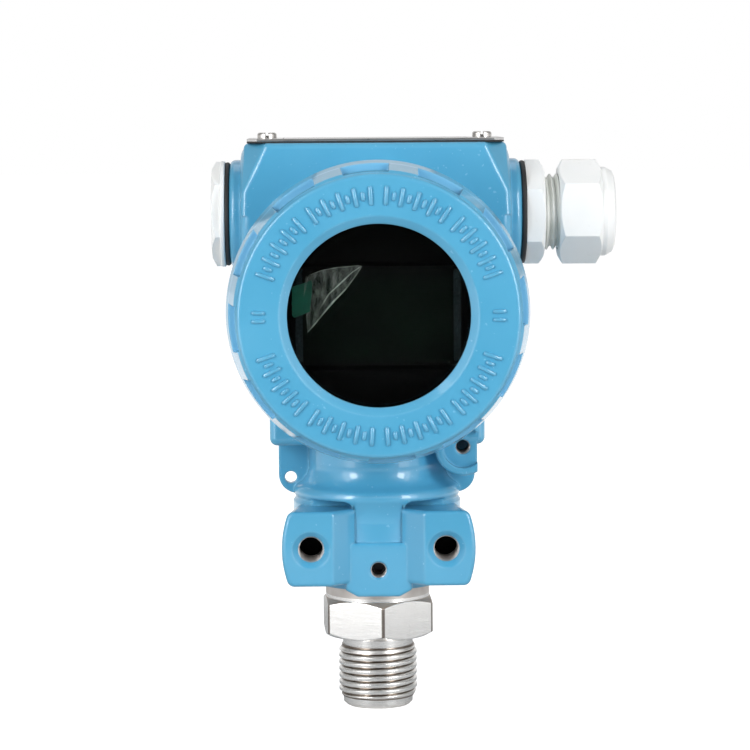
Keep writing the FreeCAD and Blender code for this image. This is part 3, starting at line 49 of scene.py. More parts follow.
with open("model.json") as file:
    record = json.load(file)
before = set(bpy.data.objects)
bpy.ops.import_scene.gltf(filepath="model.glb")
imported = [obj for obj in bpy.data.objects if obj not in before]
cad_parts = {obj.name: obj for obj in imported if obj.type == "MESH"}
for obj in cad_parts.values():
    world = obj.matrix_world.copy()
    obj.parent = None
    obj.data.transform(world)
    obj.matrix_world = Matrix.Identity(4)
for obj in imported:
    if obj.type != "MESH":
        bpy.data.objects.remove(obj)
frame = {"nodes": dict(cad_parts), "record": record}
cad_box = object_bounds()
scene = bpy.context.scene


# ---------------------------------------------------------------- shader helpers
def node(tree, kind, inputs=None, **settings):
    """A new shader node, its inputs set to values or linked to sockets."""
    made = tree.nodes.new(kind)
    for name, value in settings.items():
        setattr(made, name, value)
    for key, value in (inputs or {}).items():
        if isinstance(value, bpy.types.NodeSocket):
            tree.links.new(value, made.inputs[key])
        else:
            made.inputs[key].default_value = value
    return made


def grey(value):
    return (value, value, value, 1)


def object_place(tree):
    """Object coordinates: the row frame, in metres."""
    return node(tree, "ShaderNodeTexCoord").outputs["Object"]


def stretched(tree, place, scale):
    """Coordinates scaled by a different amount along each axis."""
    return node(tree, "ShaderNodeMapping", {"Vector": place, "Scale": scale}).outputs[0]


def noise(tree, place, size, detail=2.0, roughness=0.5):
    """Noise between 0 and 1 with blobs of about that size in metres."""
    inputs = {"Vector": place, "Scale": 1 / size, "Detail": detail, "Roughness": roughness}
    return node(tree, "ShaderNodeTexNoise", inputs).outputs[0]


def remap(tree, value, low, high, to_low=0.0, to_high=1.0):
    """A value carried in a straight line from one range to another, and held at its ends."""
    inputs = {"Value": value, "From Min": low, "From Max": high, "To Min": to_low, "To Max": to_high}
    return node(tree, "ShaderNodeMapRange", inputs).outputs[0]


def mixed(tree, factor, first, second):
    """The first colour where the factor is 0, the second where it is 1."""
    made = node(tree, "ShaderNodeMix", data_type="RGBA")
    for key, value in ((0, factor), (6, first), (7, second)):
        if isinstance(value, bpy.types.NodeSocket):
            tree.links.new(value, made.inputs[key])
        else:
            made.inputs[key].default_value = value
    return made.outputs[2]


def maths(tree, operation, first, second=0.0, third=0.0):
    inputs = {0: first, 1: second, 2: third}
    return node(tree, "ShaderNodeMath", inputs, operation=operation).outputs[0]


def bumped(tree, height, depth, normal=None):
    """A normal bumped by a height between 0 and 1, that many metres deep."""
    inputs = {"Height": height, "Distance": depth, "Strength": 1.0}
    if normal is not None:
        inputs["Normal"] = normal
    return node(tree, "ShaderNodeBump", inputs).outputs[0]


def rounded_edges(tree, radius):
    """A normal that rounds sharp edges off by that radius."""
    return node(tree, "ShaderNodeBevel", {"Radius": radius}, samples=6).outputs[0]


def edge_mask(tree, soft_normal):
    """1 on sharp edges, 0 on flat faces."""
    hard = node(tree, "ShaderNodeNewGeometry").outputs["Normal"]
    dot = node(tree, "ShaderNodeVectorMath", {0: hard, 1: soft_normal}, operation="DOT_PRODUCT")
    flat, sharp = 0.995, 0.9
    return remap(tree, dot.outputs["Value"], flat, sharp)


def from_axis(tree, across, along):
    """The distance from an axis, from the two coordinates across it."""
    squares = maths(tree, "MULTIPLY_ADD", along, along, maths(tree, "MULTIPLY", across, across))
    return maths(tree, "SQRT", squares)


def material(name, **settings):
    """A new material and its shader; the settings are the shader's own sockets."""
    made = bpy.data.materials.new(name)
    made.use_nodes = True
    shader = made.node_tree.nodes["Principled BSDF"]
    for key, value in settings.items():
        shader.inputs[key.replace("_", " ")].default_value = value
    return made, made.node_tree, shader


def put(tree, shader, **sockets):
    """Link sockets to the shader's inputs."""
    for key, value in sockets.items():
        tree.links.new(value, shader.inputs[key.replace("_", " ")])


# ---------------------------------------------------------------- materials
FOOT_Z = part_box("housing")[0].z
COLLAR_HEIGHT = 2.0 * MM

PAINT = (0.084, 0.376, 0.592, 1)
PAINT_DEEP = (0.070, 0.348, 0.560, 1)
# pale paint for dust specks, and for edges, which are partly rubbed paint and partly a painted highlight
PAINT_PALE_DUST_WEAR_HIGHLIGHT = (0.30, 0.62, 0.82, 1)
# lighter paint for the flange behind the covers' notches: a painted reflection of light
PAINT_FLANGE_LIGHT = (0.17, 0.48, 0.73, 1)
FLANGE_PLACE = 42.0 * MM  # of the covers' flange faces, in front of and behind the drum's middle
FLANGE_REACH = (0.4 * MM, 0.7 * MM)  # to either side of that, where the painted light ends
NOTCH_FLOOR = (36.0 * MM, 36.3 * MM)  # radii between which the painted light begins


def painted_flange_light(tree, place):
    """1 on the flange behind the covers' notches, where lighter paint stands in for the flange's reflection:
    painted light.
    """
    split = node(tree, "ShaderNodeSeparateXYZ", {"Vector": place})
    cover_low, cover_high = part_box("front_cover")
    axis_z = (cover_low.z + cover_high.z) / 2
    up = maths(tree, "SUBTRACT", split.outputs[2], axis_z)
    far_out = remap(tree, from_axis(tree, split.outputs[0], up), *NOTCH_FLOOR)
    depth = maths(tree, "SUBTRACT", maths(tree, "ABSOLUTE", split.outputs[1]), FLANGE_PLACE)
    near = remap(tree, maths(tree, "ABSOLUTE", depth), FLANGE_REACH[1], FLANGE_REACH[0])
    return maths(tree, "MULTIPLY", far_out, near)


def paint_material():
    """Blue enamel: a fine orange peel, a slow drift of tone, dust specks, edges made paler partly as rubbed paint
    and partly as a painted highlight, and a painted reflection on the flange behind the covers' notches.
    """
    made, tree, shader = material("paint_enamel", Coat_Weight=0.8, Coat_Roughness=0.07, IOR=1.5)
    place = object_place(tree)
    soft = rounded_edges(tree, 1.0 * MM)
    drift = remap(tree, noise(tree, place, 28 * MM, 3), 0.35, 0.65)
    tone = mixed(tree, drift, PAINT_DEEP, PAINT)
    specks = remap(tree, noise(tree, place, 1.1 * MM, 1), 0.735, 0.76)
    tone = mixed(tree, maths(tree, "MULTIPLY", specks, 0.35), tone, PAINT_PALE_DUST_WEAR_HIGHLIGHT)
    # edges made paler: partly rubbed paint, partly a painted highlight
    patches = remap(tree, noise(tree, place, 6 * MM, 4), 0.36, 0.56)
    worn_and_highlit_edges = maths(tree, "MULTIPLY", edge_mask(tree, soft), patches)
    tone = mixed(tree, maths(tree, "MULTIPLY", worn_and_highlit_edges, 0.26), tone, PAINT_PALE_DUST_WEAR_HIGHLIGHT)
    # painted light: the flange behind the covers' notches made lighter
    tone = mixed(tree, painted_flange_light(tree, place), tone, PAINT_FLANGE_LIGHT)
    gloss = remap(tree, noise(tree, place, 9 * MM, 3), 0.3, 0.7, 0.32, 0.42)
    peel = noise(tree, place, 0.9 * MM, 2)
    put(tree, shader, Base_Color=tone, Roughness=gloss, Normal=bumped(tree, peel, 0.006 * MM, soft))
    return made


STEEL = (0.79, 0.765, 0.735, 1)
STAINED_SHARE = 0.88  # of the metal's brightness, in its stains


def stainless_material(name, direction, colour=STEEL, rough=(0.17, 0.30), edge=0.2 * MM):
    """Metal with fine tool marks that run across the given direction, and faint stains."""
    made, tree, shader = material(name, Metallic=1.0)
    place = object_place(tree)
    marks_scale = tuple(1.0 if axis else 0.02 for axis in direction)
    marks = noise(tree, stretched(tree, place, marks_scale), 0.12 * MM, 3)
    stains = noise(tree, place, 7 * MM, 4)
    stained = tuple(part * STAINED_SHARE for part in colour[:3]) + (1,)
    tone = mixed(tree, remap(tree, stains, 0.35, 0.7), colour, stained)
    uneven = maths(tree, "MULTIPLY_ADD", marks, 0.6, maths(tree, "MULTIPLY", stains, 0.4))
    gloss = remap(tree, uneven, 0.3, 0.7, *rough)
    soft = rounded_edges(tree, edge)
    put(tree, shader, Base_Color=tone, Roughness=gloss, Normal=bumped(tree, marks, 0.0016 * MM, soft))
    return made


ROOT_RADII = (9.80 * MM, 9.95 * MM)  # of the process thread, between which the painted shade in its root ends
ROOT_SHADE_TONE = (0.20, 0.165, 0.135, 1)
CORNER_REFLECTION_TONE = (0.20, 0.175, 0.155, 1)
CORNER_DEPTHS = (0.14 * MM, 0.26 * MM)  # inside the hexagon's corners, between which the grey line of painted reflection along them ends
# brownish grey painted on the fitting: shade on its upper chamfer, a reflection on its collar
STEEL_PAINTED_SHADE = (0.40, 0.31, 0.245, 1)


def thread_material():
    """Bright turned stainless steel, with painted shade darkening the thread's root."""
    made = stainless_material("stainless_thread", (0, 0, 1), (0.96, 0.945, 0.92, 1), (0.22, 0.34), 0.05 * MM)
    tree = made.node_tree
    shader = tree.nodes["Principled BSDF"]
    split = node(tree, "ShaderNodeSeparateXYZ", {"Vector": object_place(tree)})
    radius = from_axis(tree, split.outputs[0], split.outputs[1])
    # painted shade: the thread's root made dark
    root = remap(tree, radius, ROOT_RADII[1], ROOT_RADII[0])
    base = shader.inputs["Base Color"].links[0].from_socket
    put(tree, shader, Base_Color=mixed(tree, root, base, ROOT_SHADE_TONE))
    return made


def fitting_material():
    """Bright turned steel with a grey line of painted reflection along its corners, and a brownish grey painted
    on its upper chamfer as shade and on its collar as a reflection.
    """
    made = stainless_material("stainless_fitting", (0, 0, 1), (0.96, 0.945, 0.925, 1), (0.20, 0.32), 0.5 * MM)
    tree = made.node_tree
    shader = tree.nodes["Principled BSDF"]
    split = node(tree, "ShaderNodeSeparateXYZ", {"Vector": object_place(tree)})
    radius = from_axis(tree, split.outputs[0], split.outputs[1])
    corner_radius = -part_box("process_connection")[0].y
    # painted reflection: a dark grey line along the hexagon's corners
    corners = remap(tree, radius, corner_radius - CORNER_DEPTHS[1], corner_radius - CORNER_DEPTHS[0])
    normal = node(tree, "ShaderNodeSeparateXYZ", {0: node(tree, "ShaderNodeNewGeometry").outputs["Normal"]})
    # painted shade on up-facing faces, and below it a painted reflection on the collar
    up_facing = remap(tree, normal.outputs[2], 0.35, 0.6)
    collar = remap(tree, split.outputs[2], FOOT_Z - COLLAR_HEIGHT - 0.1 * MM, FOOT_Z - COLLAR_HEIGHT + 0.1 * MM)
    painted_shade_and_reflection = maths(tree, "MAXIMUM", up_facing, maths(tree, "MULTIPLY", collar, 0.6))
    cloud = remap(tree, noise(tree, object_place(tree), 3 * MM, 4), 0.3, 0.7, 0.75, 1.0)
    painted_shade_and_reflection = maths(tree, "MULTIPLY", painted_shade_and_reflection, cloud)
    base = shader.inputs["Base Color"].links[0].from_socket
    gloss = shader.inputs["Roughness"].links[0].from_socket
    # the painted corner reflection
    base = mixed(tree, corners, base, CORNER_REFLECTION_TONE)
    put(
        tree,
        shader,
        Base_Color=mixed(tree, painted_shade_and_reflection, base, STEEL_PAINTED_SHADE),
        Metallic=remap(tree, painted_shade_and_reflection, 0, 1, 1.0, 0.0),
        Roughness=maths(tree, "MULTIPLY_ADD", painted_shade_and_reflection, 0.25, gloss),
    )
    return made


def nylon_material():
    """Off-white moulded nylon with a slight haze, a little dirt and a soft skin."""
    made, tree, shader = material(
        "nylon_moulded",
        IOR=1.53,
        Subsurface_Weight=0.12,
        Subsurface_Radius=(1, 0.9, 0.8),
        Subsurface_Scale=1.2 * MM,
    )
    place = object_place(tree)
    haze = noise(tree, place, 14 * MM, 4)
    tone = mixed(tree, remap(tree, haze, 0.3, 0.7), (0.86, 0.875, 0.868, 1), (0.91, 0.918, 0.912, 1))
    dirt = remap(tree, noise(tree, place, 1.6 * MM, 3), 0.68, 0.78)
    tone = mixed(tree, maths(tree, "MULTIPLY", dirt, 0.15), tone, (0.60, 0.60, 0.56, 1))
    gloss = remap(tree, noise(tree, place, 3 * MM, 3), 0.3, 0.7, 0.32, 0.46)
    grain = noise(tree, place, 0.35 * MM, 2)
    soft = rounded_edges(tree, 0.35 * MM)
    put(tree, shader, Base_Color=tone, Roughness=gloss, Normal=bumped(tree, grain, 0.006 * MM, soft))
    return made


def moulded_material(name, colour, light, gloss, grain_size, grain_depth, **settings):
    """A moulded plastic or rubber: two tones, a grain and a gloss that varies."""
    made, tree, shader = material(name, **settings)
    place = object_place(tree)
    tone = mixed(tree, remap(tree, noise(tree, place, 5 * MM, 4), 0.35, 0.7), colour, light)
    roughness = remap(tree, noise(tree, place, 2.5 * MM, 3), 0.3, 0.7, gloss - 0.06, gloss + 0.06)
    grain = noise(tree, place, grain_size, 2)
    soft = rounded_edges(tree, 0.15 * MM)
    put(tree, shader, Base_Color=tone, Roughness=roughness, Normal=bumped(tree, grain, grain_depth, soft))
    return made


def inside(tree, place, low, high, edge):
    """1 inside a rectangle seen from the front (X and Z, in metres), 0 outside it."""
    split = node(tree, "ShaderNodeSeparateXYZ", {"Vector": place})
    mask = None
    for socket, a, b in ((split.outputs[0], low[0], high[0]), (split.outputs[2], low[1], high[1])):
        for value in (
            remap(tree, socket, a - edge, a + edge),
            remap(tree, socket, b + edge, b - edge),
        ):
            mask = value if mask is None else maths(tree, "MULTIPLY", mask, value)
    return mask


VIEW_HALF_WIDTH, VIEW_HALF_HEIGHT = 19.1 * MM, 10.6 * MM  # of the display's green field
VIEW_DROP = 1.0 * MM  # of its centre below the panel's
BARS_HALF_WIDTH, BARS_TOP = 21.0 * MM, 12.9 * MM  # of the grey strips at its left and right
BEYOND = 30 * MM  # past the panel's upper and lower ends


def lcd_material():
    """The switched-off display: dark green glass with a faint cell tint between two dark grey frame strips."""
    made, tree, shader = material("lcd_glass", IOR=1.5)
    place = object_place(tree)
    low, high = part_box("lcd_panel")
    centre_z = (low.z + high.z) / 2 - VIEW_DROP

    def field(half_width, down, up, edge):
        return inside(tree, place, (-half_width, centre_z - down), (half_width, centre_z + up), edge)

    view = field(VIEW_HALF_WIDTH, VIEW_HALF_HEIGHT, VIEW_HALF_HEIGHT, 0.08 * MM)
    bars = field(BARS_HALF_WIDTH, VIEW_HALF_HEIGHT, BARS_TOP, 0.12 * MM)
    core = field(VIEW_HALF_WIDTH, BEYOND, BEYOND, 0.08 * MM)
    bars = maths(tree, "MULTIPLY", bars, maths(tree, "SUBTRACT", 1.0, core))
    cloud = remap(tree, noise(tree, place, 16 * MM, 2), 0.35, 0.7)
    cell = mixed(tree, cloud, (0.0014, 0.0056, 0.0032, 1), (0.0040, 0.0125, 0.0066, 1))
    frame_grain = remap(tree, noise(tree, place, 0.7 * MM, 3), 0.3, 0.7)
    strip = mixed(tree, frame_grain, (0.012, 0.019, 0.022, 1), (0.028, 0.046, 0.052, 1))
    tone = mixed(tree, view, mixed(tree, bars, (0.0006, 0.0006, 0.0007, 1), strip), cell)
    gloss = remap(tree, view, 0, 1, 0.24, 0.16)
    grain = noise(tree, place, 0.5 * MM, 2)
    put(tree, shader, Base_Color=tone, Roughness=gloss, Normal=bumped(tree, grain, 0.002 * MM))
    return made


def glass_material():
    """The window: clear glass with the faintest uneven surface."""
    made, tree, shader = material(
        "window_clear", Transmission_Weight=1.0, Base_Color=(0.93, 0.965, 0.95, 1), IOR=1.5
    )
    place = object_place(tree)
    smear = noise(tree, place, 8 * MM, 4)
    put(tree, shader, Roughness=remap(tree, smear, 0.45, 0.75, 0.0, 0.03))
    return made


def film_material(name, haze, streak, shine=0.5):
    """Clear plastic film, as solid as `haze` between its streaks and as `streak` in them."""
    made, tree, shader = material(name, IOR=1.48, Specular_IOR_Level=shine)
    place = object_place(tree)
    streaks = noise(tree, stretched(tree, place, (1.0, 0.3, 0.25)), 1.1 * MM, 5, 0.65)
    cover = remap(tree, streaks, 0.38, 0.72, haze, streak)
    tone = mixed(tree, streaks, (0.62, 0.68, 0.62, 1), (0.86, 0.9, 0.84, 1))
    gloss = remap(tree, streaks, 0.3, 0.7, 0.12, 0.3)
    put(tree, shader, Base_Color=tone, Alpha=cover, Roughness=gloss)
    return made


PRINT_HALF_WIDTH, PRINT_HALF_DEPTH = 24.1 * MM, 11.8 * MM  # of the printed frame, to the middle of its line
FRAME_LINE = (0.12 * MM, 0.20 * MM)  # half its width, where its edge begins and ends
ROW_PITCH = 3.0 * MM
ROW_LINE = (0.06 * MM, 0.13 * MM)
FRAME_CLEAR = (0.5 * MM, 0.7 * MM)  # inside the frame's line, where the ruled rows begin


def nameplate_material():
    """Brushed steel with a printed frame and empty ruled fields, and no words."""
    made = stainless_material("nameplate_steel", (0, 1, 1), (0.80, 0.79, 0.78, 1), (0.24, 0.38))
    tree = made.node_tree
    shader = tree.nodes["Principled BSDF"]
    split = node(tree, "ShaderNodeSeparateXYZ", {"Vector": object_place(tree)})
    x = maths(tree, "ABSOLUTE", split.outputs[0])
    y = maths(tree, "ABSOLUTE", split.outputs[1])
    past_x = maths(tree, "SUBTRACT", x, PRINT_HALF_WIDTH)
    past_y = maths(tree, "SUBTRACT", y, PRINT_HALF_DEPTH)
    past_frame = maths(tree, "MAXIMUM", past_x, past_y)
    border = remap(tree, maths(tree, "ABSOLUTE", past_frame), FRAME_LINE[1], FRAME_LINE[0])
    row = maths(tree, "PINGPONG", split.outputs[1], ROW_PITCH)
    from_row = maths(tree, "ABSOLUTE", maths(tree, "SUBTRACT", row, ROW_PITCH / 2))
    ruled = remap(tree, from_row, ROW_LINE[1], ROW_LINE[0])
    field = remap(tree, past_frame, -FRAME_CLEAR[0], -FRAME_CLEAR[1])
    print_mask = maths(tree, "MAXIMUM", border, maths(tree, "MULTIPLY", ruled, field))
    print_mask = maths(tree, "MULTIPLY", print_mask, 0.9)
    base = shader.inputs["Base Color"].links[0].from_socket
    put(tree, shader, Base_Color=mixed(tree, print_mask, base, (0.02, 0.02, 0.022, 1)))
    return made


def board_material():
    """Green solder mask with copper tracks just visible under it."""
    made, tree, shader = material("board_mask", IOR=1.5)
    place = object_place(tree)
    cells = node(tree, "ShaderNodeTexVoronoi", {"Vector": place, "Scale": 420.0}, distance="MANHATTAN")
    tracks = cells.outputs[0]
    tone = mixed(tree, remap(tree, tracks, 0.2, 0.5), (0.01, 0.085, 0.03, 1), (0.025, 0.16, 0.06, 1))
    gloss = remap(tree, noise(tree, place, 2 * MM, 2), 0.3, 0.7, 0.25, 0.4)
    put(tree, shader, Base_Color=tone, Roughness=gloss, Normal=bumped(tree, tracks, 0.01 * MM))
    return made


paint = paint_material()
steel_fitting = fitting_material()
steel_screw = stainless_material("stainless_screw", (0, 0, 1))
black_oxide = stainless_material("steel_black_oxide", (0, 1, 0), (0.035, 0.034, 0.034, 1), (0.35, 0.5))
steel_brushed = stainless_material("stainless_brushed", (1, 0, 1), rough=(0.24, 0.4))
bare_thread = stainless_material("bare_casting_thread", (0, 1, 0), (0.78, 0.75, 0.73, 1), (0.28, 0.42))
# darker than the gland's own nylon: partly a beige tint, partly painted shade in the thread's turns
neck_nylon_shaded = moulded_material(
    "nylon_thread_shaded", (0.66, 0.68, 0.64, 1), (0.78, 0.79, 0.76, 1), 0.42, 0.4 * MM, 0.006 * MM, IOR=1.53
)
plate_steel = nameplate_material()
nylon = nylon_material()
rubber = moulded_material(
    "rubber_black", (0.012, 0.012, 0.013, 1), (0.026, 0.026, 0.027, 1), 0.62, 0.5 * MM, 0.02 * MM
)
black_plastic = moulded_material(
    "plastic_black", (0.0005, 0.0005, 0.0006, 1), (0.0011, 0.0011, 0.0013, 1), 0.6, 0.3 * MM, 0.003 * MM,
    Specular_IOR_Level=0.08,
)
white_plastic = moulded_material(
    "plastic_white", (0.74, 0.75, 0.74, 1), (0.82, 0.82, 0.80, 1), 0.35, 0.4 * MM, 0.006 * MM
)
brass = moulded_material(
    "brass_plated", (0.66, 0.53, 0.30, 1), (0.76, 0.64, 0.40, 1), 0.28, 0.2 * MM, 0.003 * MM, Metallic=1.0
)
ring_metal = stainless_material("aluminium_turned", (1, 0, 1), (0.70, 0.71, 0.73, 1))
green_tab = moulded_material(
    "tab_green", (0.0, 0.070, 0.044, 1), (0.0, 0.105, 0.066, 1), 0.42, 0.8 * MM, 0.006 * MM
)
sheath = moulded_material(
    "sheath_silicone", (0.03, 0.03, 0.03, 1), (0.05, 0.05, 0.05, 1), 0.5, 0.4 * MM, 0.01 * MM
)

SLOT_MATERIALS = {
    "paint": paint,
    "rubber": rubber,
    "glass": glass_material(),
    "aluminium": ring_metal,
    "black_plastic": black_plastic,
    "lcd": lcd_material(),
    "film": film_material("film_flat", 0.0, 0.004, 0.1),
    "green_tab": green_tab,
    "board": board_material(),
    "brass": brass,
    "stainless": steel_brushed,
    "white_plastic": white_plastic,
    "nylon": nylon,
    "lead": sheath,
}
OWN_MATERIALS = {
    "nameplate": plate_steel,
    "process_connection": steel_fitting,
    "nameplate_screws": steel_screw,
    "lock_screw": black_oxide,
}

for part in frame["record"]["subparts"]:
    chosen = OWN_MATERIALS.get(part["node"], SLOT_MATERIALS[part["material_slot"]])
    for material_slot in frame["nodes"][part["node"]].material_slots:
        material_slot.material = chosen


# ---------------------------------------------------------------- mesh helpers
def piece(name, mesh, body, finish, sharp=math.radians(35)):
    """A new object from a mesh, with its material, riding on a body."""
    made = bpy.data.objects.new(name, mesh)
    scene.collection.objects.link(made)
    mesh.materials.clear()
    mesh.materials.append(finish)
    if sharp is not None:
        mesh.shade_smooth()
        mesh.set_sharp_from_angle(angle=sharp)
    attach(made, body)
    return made


def mesh_from(name, build):
    """A mesh made by a function that fills a bmesh."""
    bm = bmesh.new()
    build(bm)
    bmesh.ops.recalc_face_normals(bm, faces=bm.faces)
    mesh = bpy.data.meshes.new(name)
    bm.to_mesh(mesh)
    bm.free()
    return mesh


def grid_faces(bm, rows, close_rows=False, close_columns=False):
    """Quads between rows of vertices."""
    count, width = len(rows), len(rows[0])
    for i in range(count if close_rows else count - 1):
        for j in range(width if close_columns else width - 1):
            after, beside = (i + 1) % count, (j + 1) % width
            bm.faces.new((rows[i][j], rows[i][beside], rows[after][beside], rows[after][j]))


STEPS_PER_TURN = 14


def thread_ring(
    bm, crest, root, back, pitch, start, end, to_place,
    run_in=0.9, run_out=0.9, columns=96, root_until=0.14, crest_from=0.84,
):
    """A closed ring with a helical thread on it, between two places along its own Z axis.

    `back` is the radius of the ring's plain side. `root_until` and `crest_from` say where, between the middle
    of the root at 0 and that of the crest at 1, the flank begins and ends. The thread grows over `run_in`
    turns and fades over `run_out` turns.
    """
    count = int(math.ceil((end - start) / pitch * STEPS_PER_TURN))
    rows = []

    def row(height, radius_at):
        made = []
        for k in range(columns):
            angle = 2 * math.pi * k / columns
            radius = radius_at(angle)
            corner = Vector((radius * math.cos(angle), radius * math.sin(angle), height))
            made.append(bm.verts.new(to_place @ corner))
        rows.append(made)

    row(start, lambda angle: back)
    for i in range(count + 1):
        height = start + (end - start) * i / count

        def radius_at(angle, height=height):
            phase = ((height - start) / pitch - angle / (2 * math.pi)) % 1.0
            towards_crest = 1 - abs(2 * phase - 1)
            flank = min(1.0, max(0.0, (towards_crest - root_until) / (crest_from - root_until)))
            grown = max(0.0, (height - start) / (run_in * pitch))
            left = max(0.0, (end - height) / (run_out * pitch))
            return root + (crest - root) * flank * min(1.0, grown, left)

        row(height, radius_at)
    row(end, lambda angle: back)
    grid_faces(bm, rows, close_rows=True, close_columns=True)


def slimmed(node_name, axis, through, radius, new_radius, span):
    """A copy of a CAD node's mesh whose cylinder of that radius, on that span of the axis, is slimmer."""
    mesh = frame["nodes"][node_name].data.copy()
    axis = Vector(axis)
    moved = 0
    for vertex in mesh.vertices:
        offset = vertex.co - Vector(through)
        height = offset.dot(axis)
        radial = offset - axis * height
        on_span = span[0] - 0.01 * MM < height < span[1] + 0.01 * MM
        if on_span and abs(radial.length - radius) < 0.03 * MM:
            vertex.co = vertex.co - radial * (1 - new_radius / radial.length)
            moved += 1
    if not moved:
        raise RuntimeError(f"no cylinder of radius {radius} on {node_name}")
    return mesh


# ---------------------------------------------------------------- process thread and gland thread
THREAD_CREST, THREAD_ROOT, THREAD_BACK = 10.4775 * MM, 9.66 * MM, 9.0 * MM  # radii
THREAD_CORE = 9.32 * MM  # radius of the fitting inside the ring
THREAD_SPAN = (2.4 * MM, 16.4 * MM)
THREAD_PITCH = 1.814 * MM

fitting_mesh = slimmed("process_connection", (0, 0, 1), (0, 0, 0), THREAD_CREST, THREAD_CORE, THREAD_SPAN)
fitting = piece("process_fitting", fitting_mesh, "housing", steel_fitting, sharp=None)
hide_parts("process_connection")
thread_mesh = mesh_from(
    "process_thread",
    lambda bm: thread_ring(
        bm, THREAD_CREST, THREAD_ROOT, THREAD_BACK, THREAD_PITCH, *THREAD_SPAN, Matrix.Identity(4),
        columns=128, root_until=0.08, crest_from=0.58,
    ),
)
piece("process_thread", thread_mesh, "housing", thread_material(), sharp=math.radians(60))

conduit_z = (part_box("gland_nut")[0].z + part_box("gland_nut")[1].z) / 2
gland_axis = Matrix.Translation((0, 0, conduit_z)) @ Matrix.Rotation(math.radians(90), 4, "Y")
NECK_CREST, NECK_ROOT, NECK_BACK = 10.1 * MM, 9.1 * MM, 8.7 * MM  # radii
NECK_CORE = 8.9 * MM  # radius of the gland's body inside the ring
NECK_PITCH = 1.75 * MM
GLAND_HEXAGON = 5.0 * MM  # length of the gland's hexagon, from its washer to its neck
RING_SUNK = 0.02 * MM  # of the ring's end into the hexagon
neck_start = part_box("gland_washer")[1].x + GLAND_HEXAGON
neck_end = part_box("gland_body")[1].x
neck_span = (neck_start, neck_end)
body_mesh = slimmed("gland_body", (1, 0, 0), (0, 0, conduit_z), NECK_CREST, NECK_CORE, neck_span)
gland_piece = piece("gland_base", body_mesh, "housing", nylon, sharp=None)
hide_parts("gland_body")
neck_mesh = mesh_from(
    "gland_neck_thread",
    lambda bm: thread_ring(
        bm, NECK_CREST, NECK_ROOT, NECK_BACK, NECK_PITCH, neck_start - RING_SUNK, neck_end, gland_axis, run_in=0.3
    ),
)
piece("gland_neck_thread", neck_mesh, "housing", neck_nylon_shaded, sharp=math.radians(60))


# ---------------------------------------------------------------- threads of the tapped holes
def mount_named(name):
    return next(mount for mount in frame["record"]["mounts"] if mount["name"] == name)


def hole_thread(bm, x, z, front, depth, crest, root, back, pitch):
    """Bare thread turns inside a tapped hole that opens to the front, with its radii and pitch in millimetres."""
    to_place = Matrix.Translation((x, front, z)) @ Matrix.Rotation(math.radians(-90), 4, "X")
    thread_ring(bm, crest * MM, root * MM, back * MM, pitch * MM, 0, depth, to_place, HOLE_RUN, HOLE_RUN, 64)


HOLE_RUN = 0.4  # turns over which a hole's thread grows and fades
M8_SIZES = (3.05, 3.38, 3.42, 1.25)  # radii of the crest, the root and the ring's back, and the pitch
LOCK_SIZES = (1.86, 2.08, 2.12, 0.8)
EARTH_SIZES = (1.72, 1.93, 1.97, 0.7)
M8_DEPTH, M8_FLOOR = 10.8 * MM, 11.2 * MM  # of the thread's end and of the black disc of painted shade behind it
EARTH_FRONT, EARTH_DEPTH = -14.1 * MM, 7.8 * MM
PAD_FRONT = -20.9 * MM  # where the lock screw's thread begins
pattern = mount_named("mounting_holes")
hole_front = pattern["pos_m"][1] + 0.15 * MM
hole_z = pattern["pos_m"][2]
hole_x = pattern["dims"]["spacing_x_mm"] / 2 * MM


def all_hole_threads(bm):
    for side in (-1, 1):
        hole_thread(bm, side * hole_x, hole_z, hole_front, M8_DEPTH, *M8_SIZES)
    screw_low, screw_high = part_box("lock_screw")
    lock_z = (screw_low.z + screw_high.z) / 2
    hole_thread(bm, 0, lock_z, PAD_FRONT, screw_low.y - PAD_FRONT, *LOCK_SIZES)
    earth_x, _, earth_z = mount_named("earth_hole")["pos_m"]
    hole_thread(bm, earth_x, earth_z, EARTH_FRONT, EARTH_DEPTH, *EARTH_SIZES)


def hole_shade_discs(bm):
    """Black discs of painted shade that close the M8 holes behind their threads."""
    lying = Matrix.Rotation(math.radians(90), 4, "X")
    for x in (-hole_x, hole_x):
        to_place = Matrix.Translation((x, hole_front + M8_FLOOR, hole_z)) @ lying
        bmesh.ops.create_cone(
            bm, cap_ends=True, segments=48, radius1=3.4 * MM, radius2=3.33 * MM, depth=0.6 * MM, matrix=to_place
        )


# painted shade: black discs deep in the M8 holes
piece("tapped_hole_shade", mesh_from("tapped_hole_shade", hole_shade_discs), "housing", black_plastic)
piece("tapped_threads", mesh_from("tapped_threads", all_hole_threads), "housing", bare_thread)


# ---------------------------------------------------------------- raised ticks on the front cover
cover_low, cover_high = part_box("front_cover")
face_centre = Vector((0, cover_low.y, (cover_low.z + cover_high.z) / 2))
TICK_STEP = math.radians(3.7)
TICKS_PER_ARC, TICKS_PER_GROUP = 39, 10  # the last place of each group stays empty
LONG_TICK = (27.6 * MM, 32.6 * MM)  # inner and outer radius
SHORT_TICK = (28.9 * MM, 31.3 * MM)
SIDE_DASH = (28.4 * MM, 31.8 * MM)
DASH_TURNS = (math.radians(-2.0), math.radians(2.0))
TICK_HALF_WIDTH, DASH_HALF_WIDTH = 0.52 * MM, 0.5 * MM
TICK_HEIGHT = 0.60 * MM
# (height over the cover's face, how far the outline draws in there)
TICK_LEVELS = ((-0.15 * MM, 0.0), (0.0, 0.0), (TICK_HEIGHT * 0.75, 0.10 * MM), (TICK_HEIGHT, 0.26 * MM))


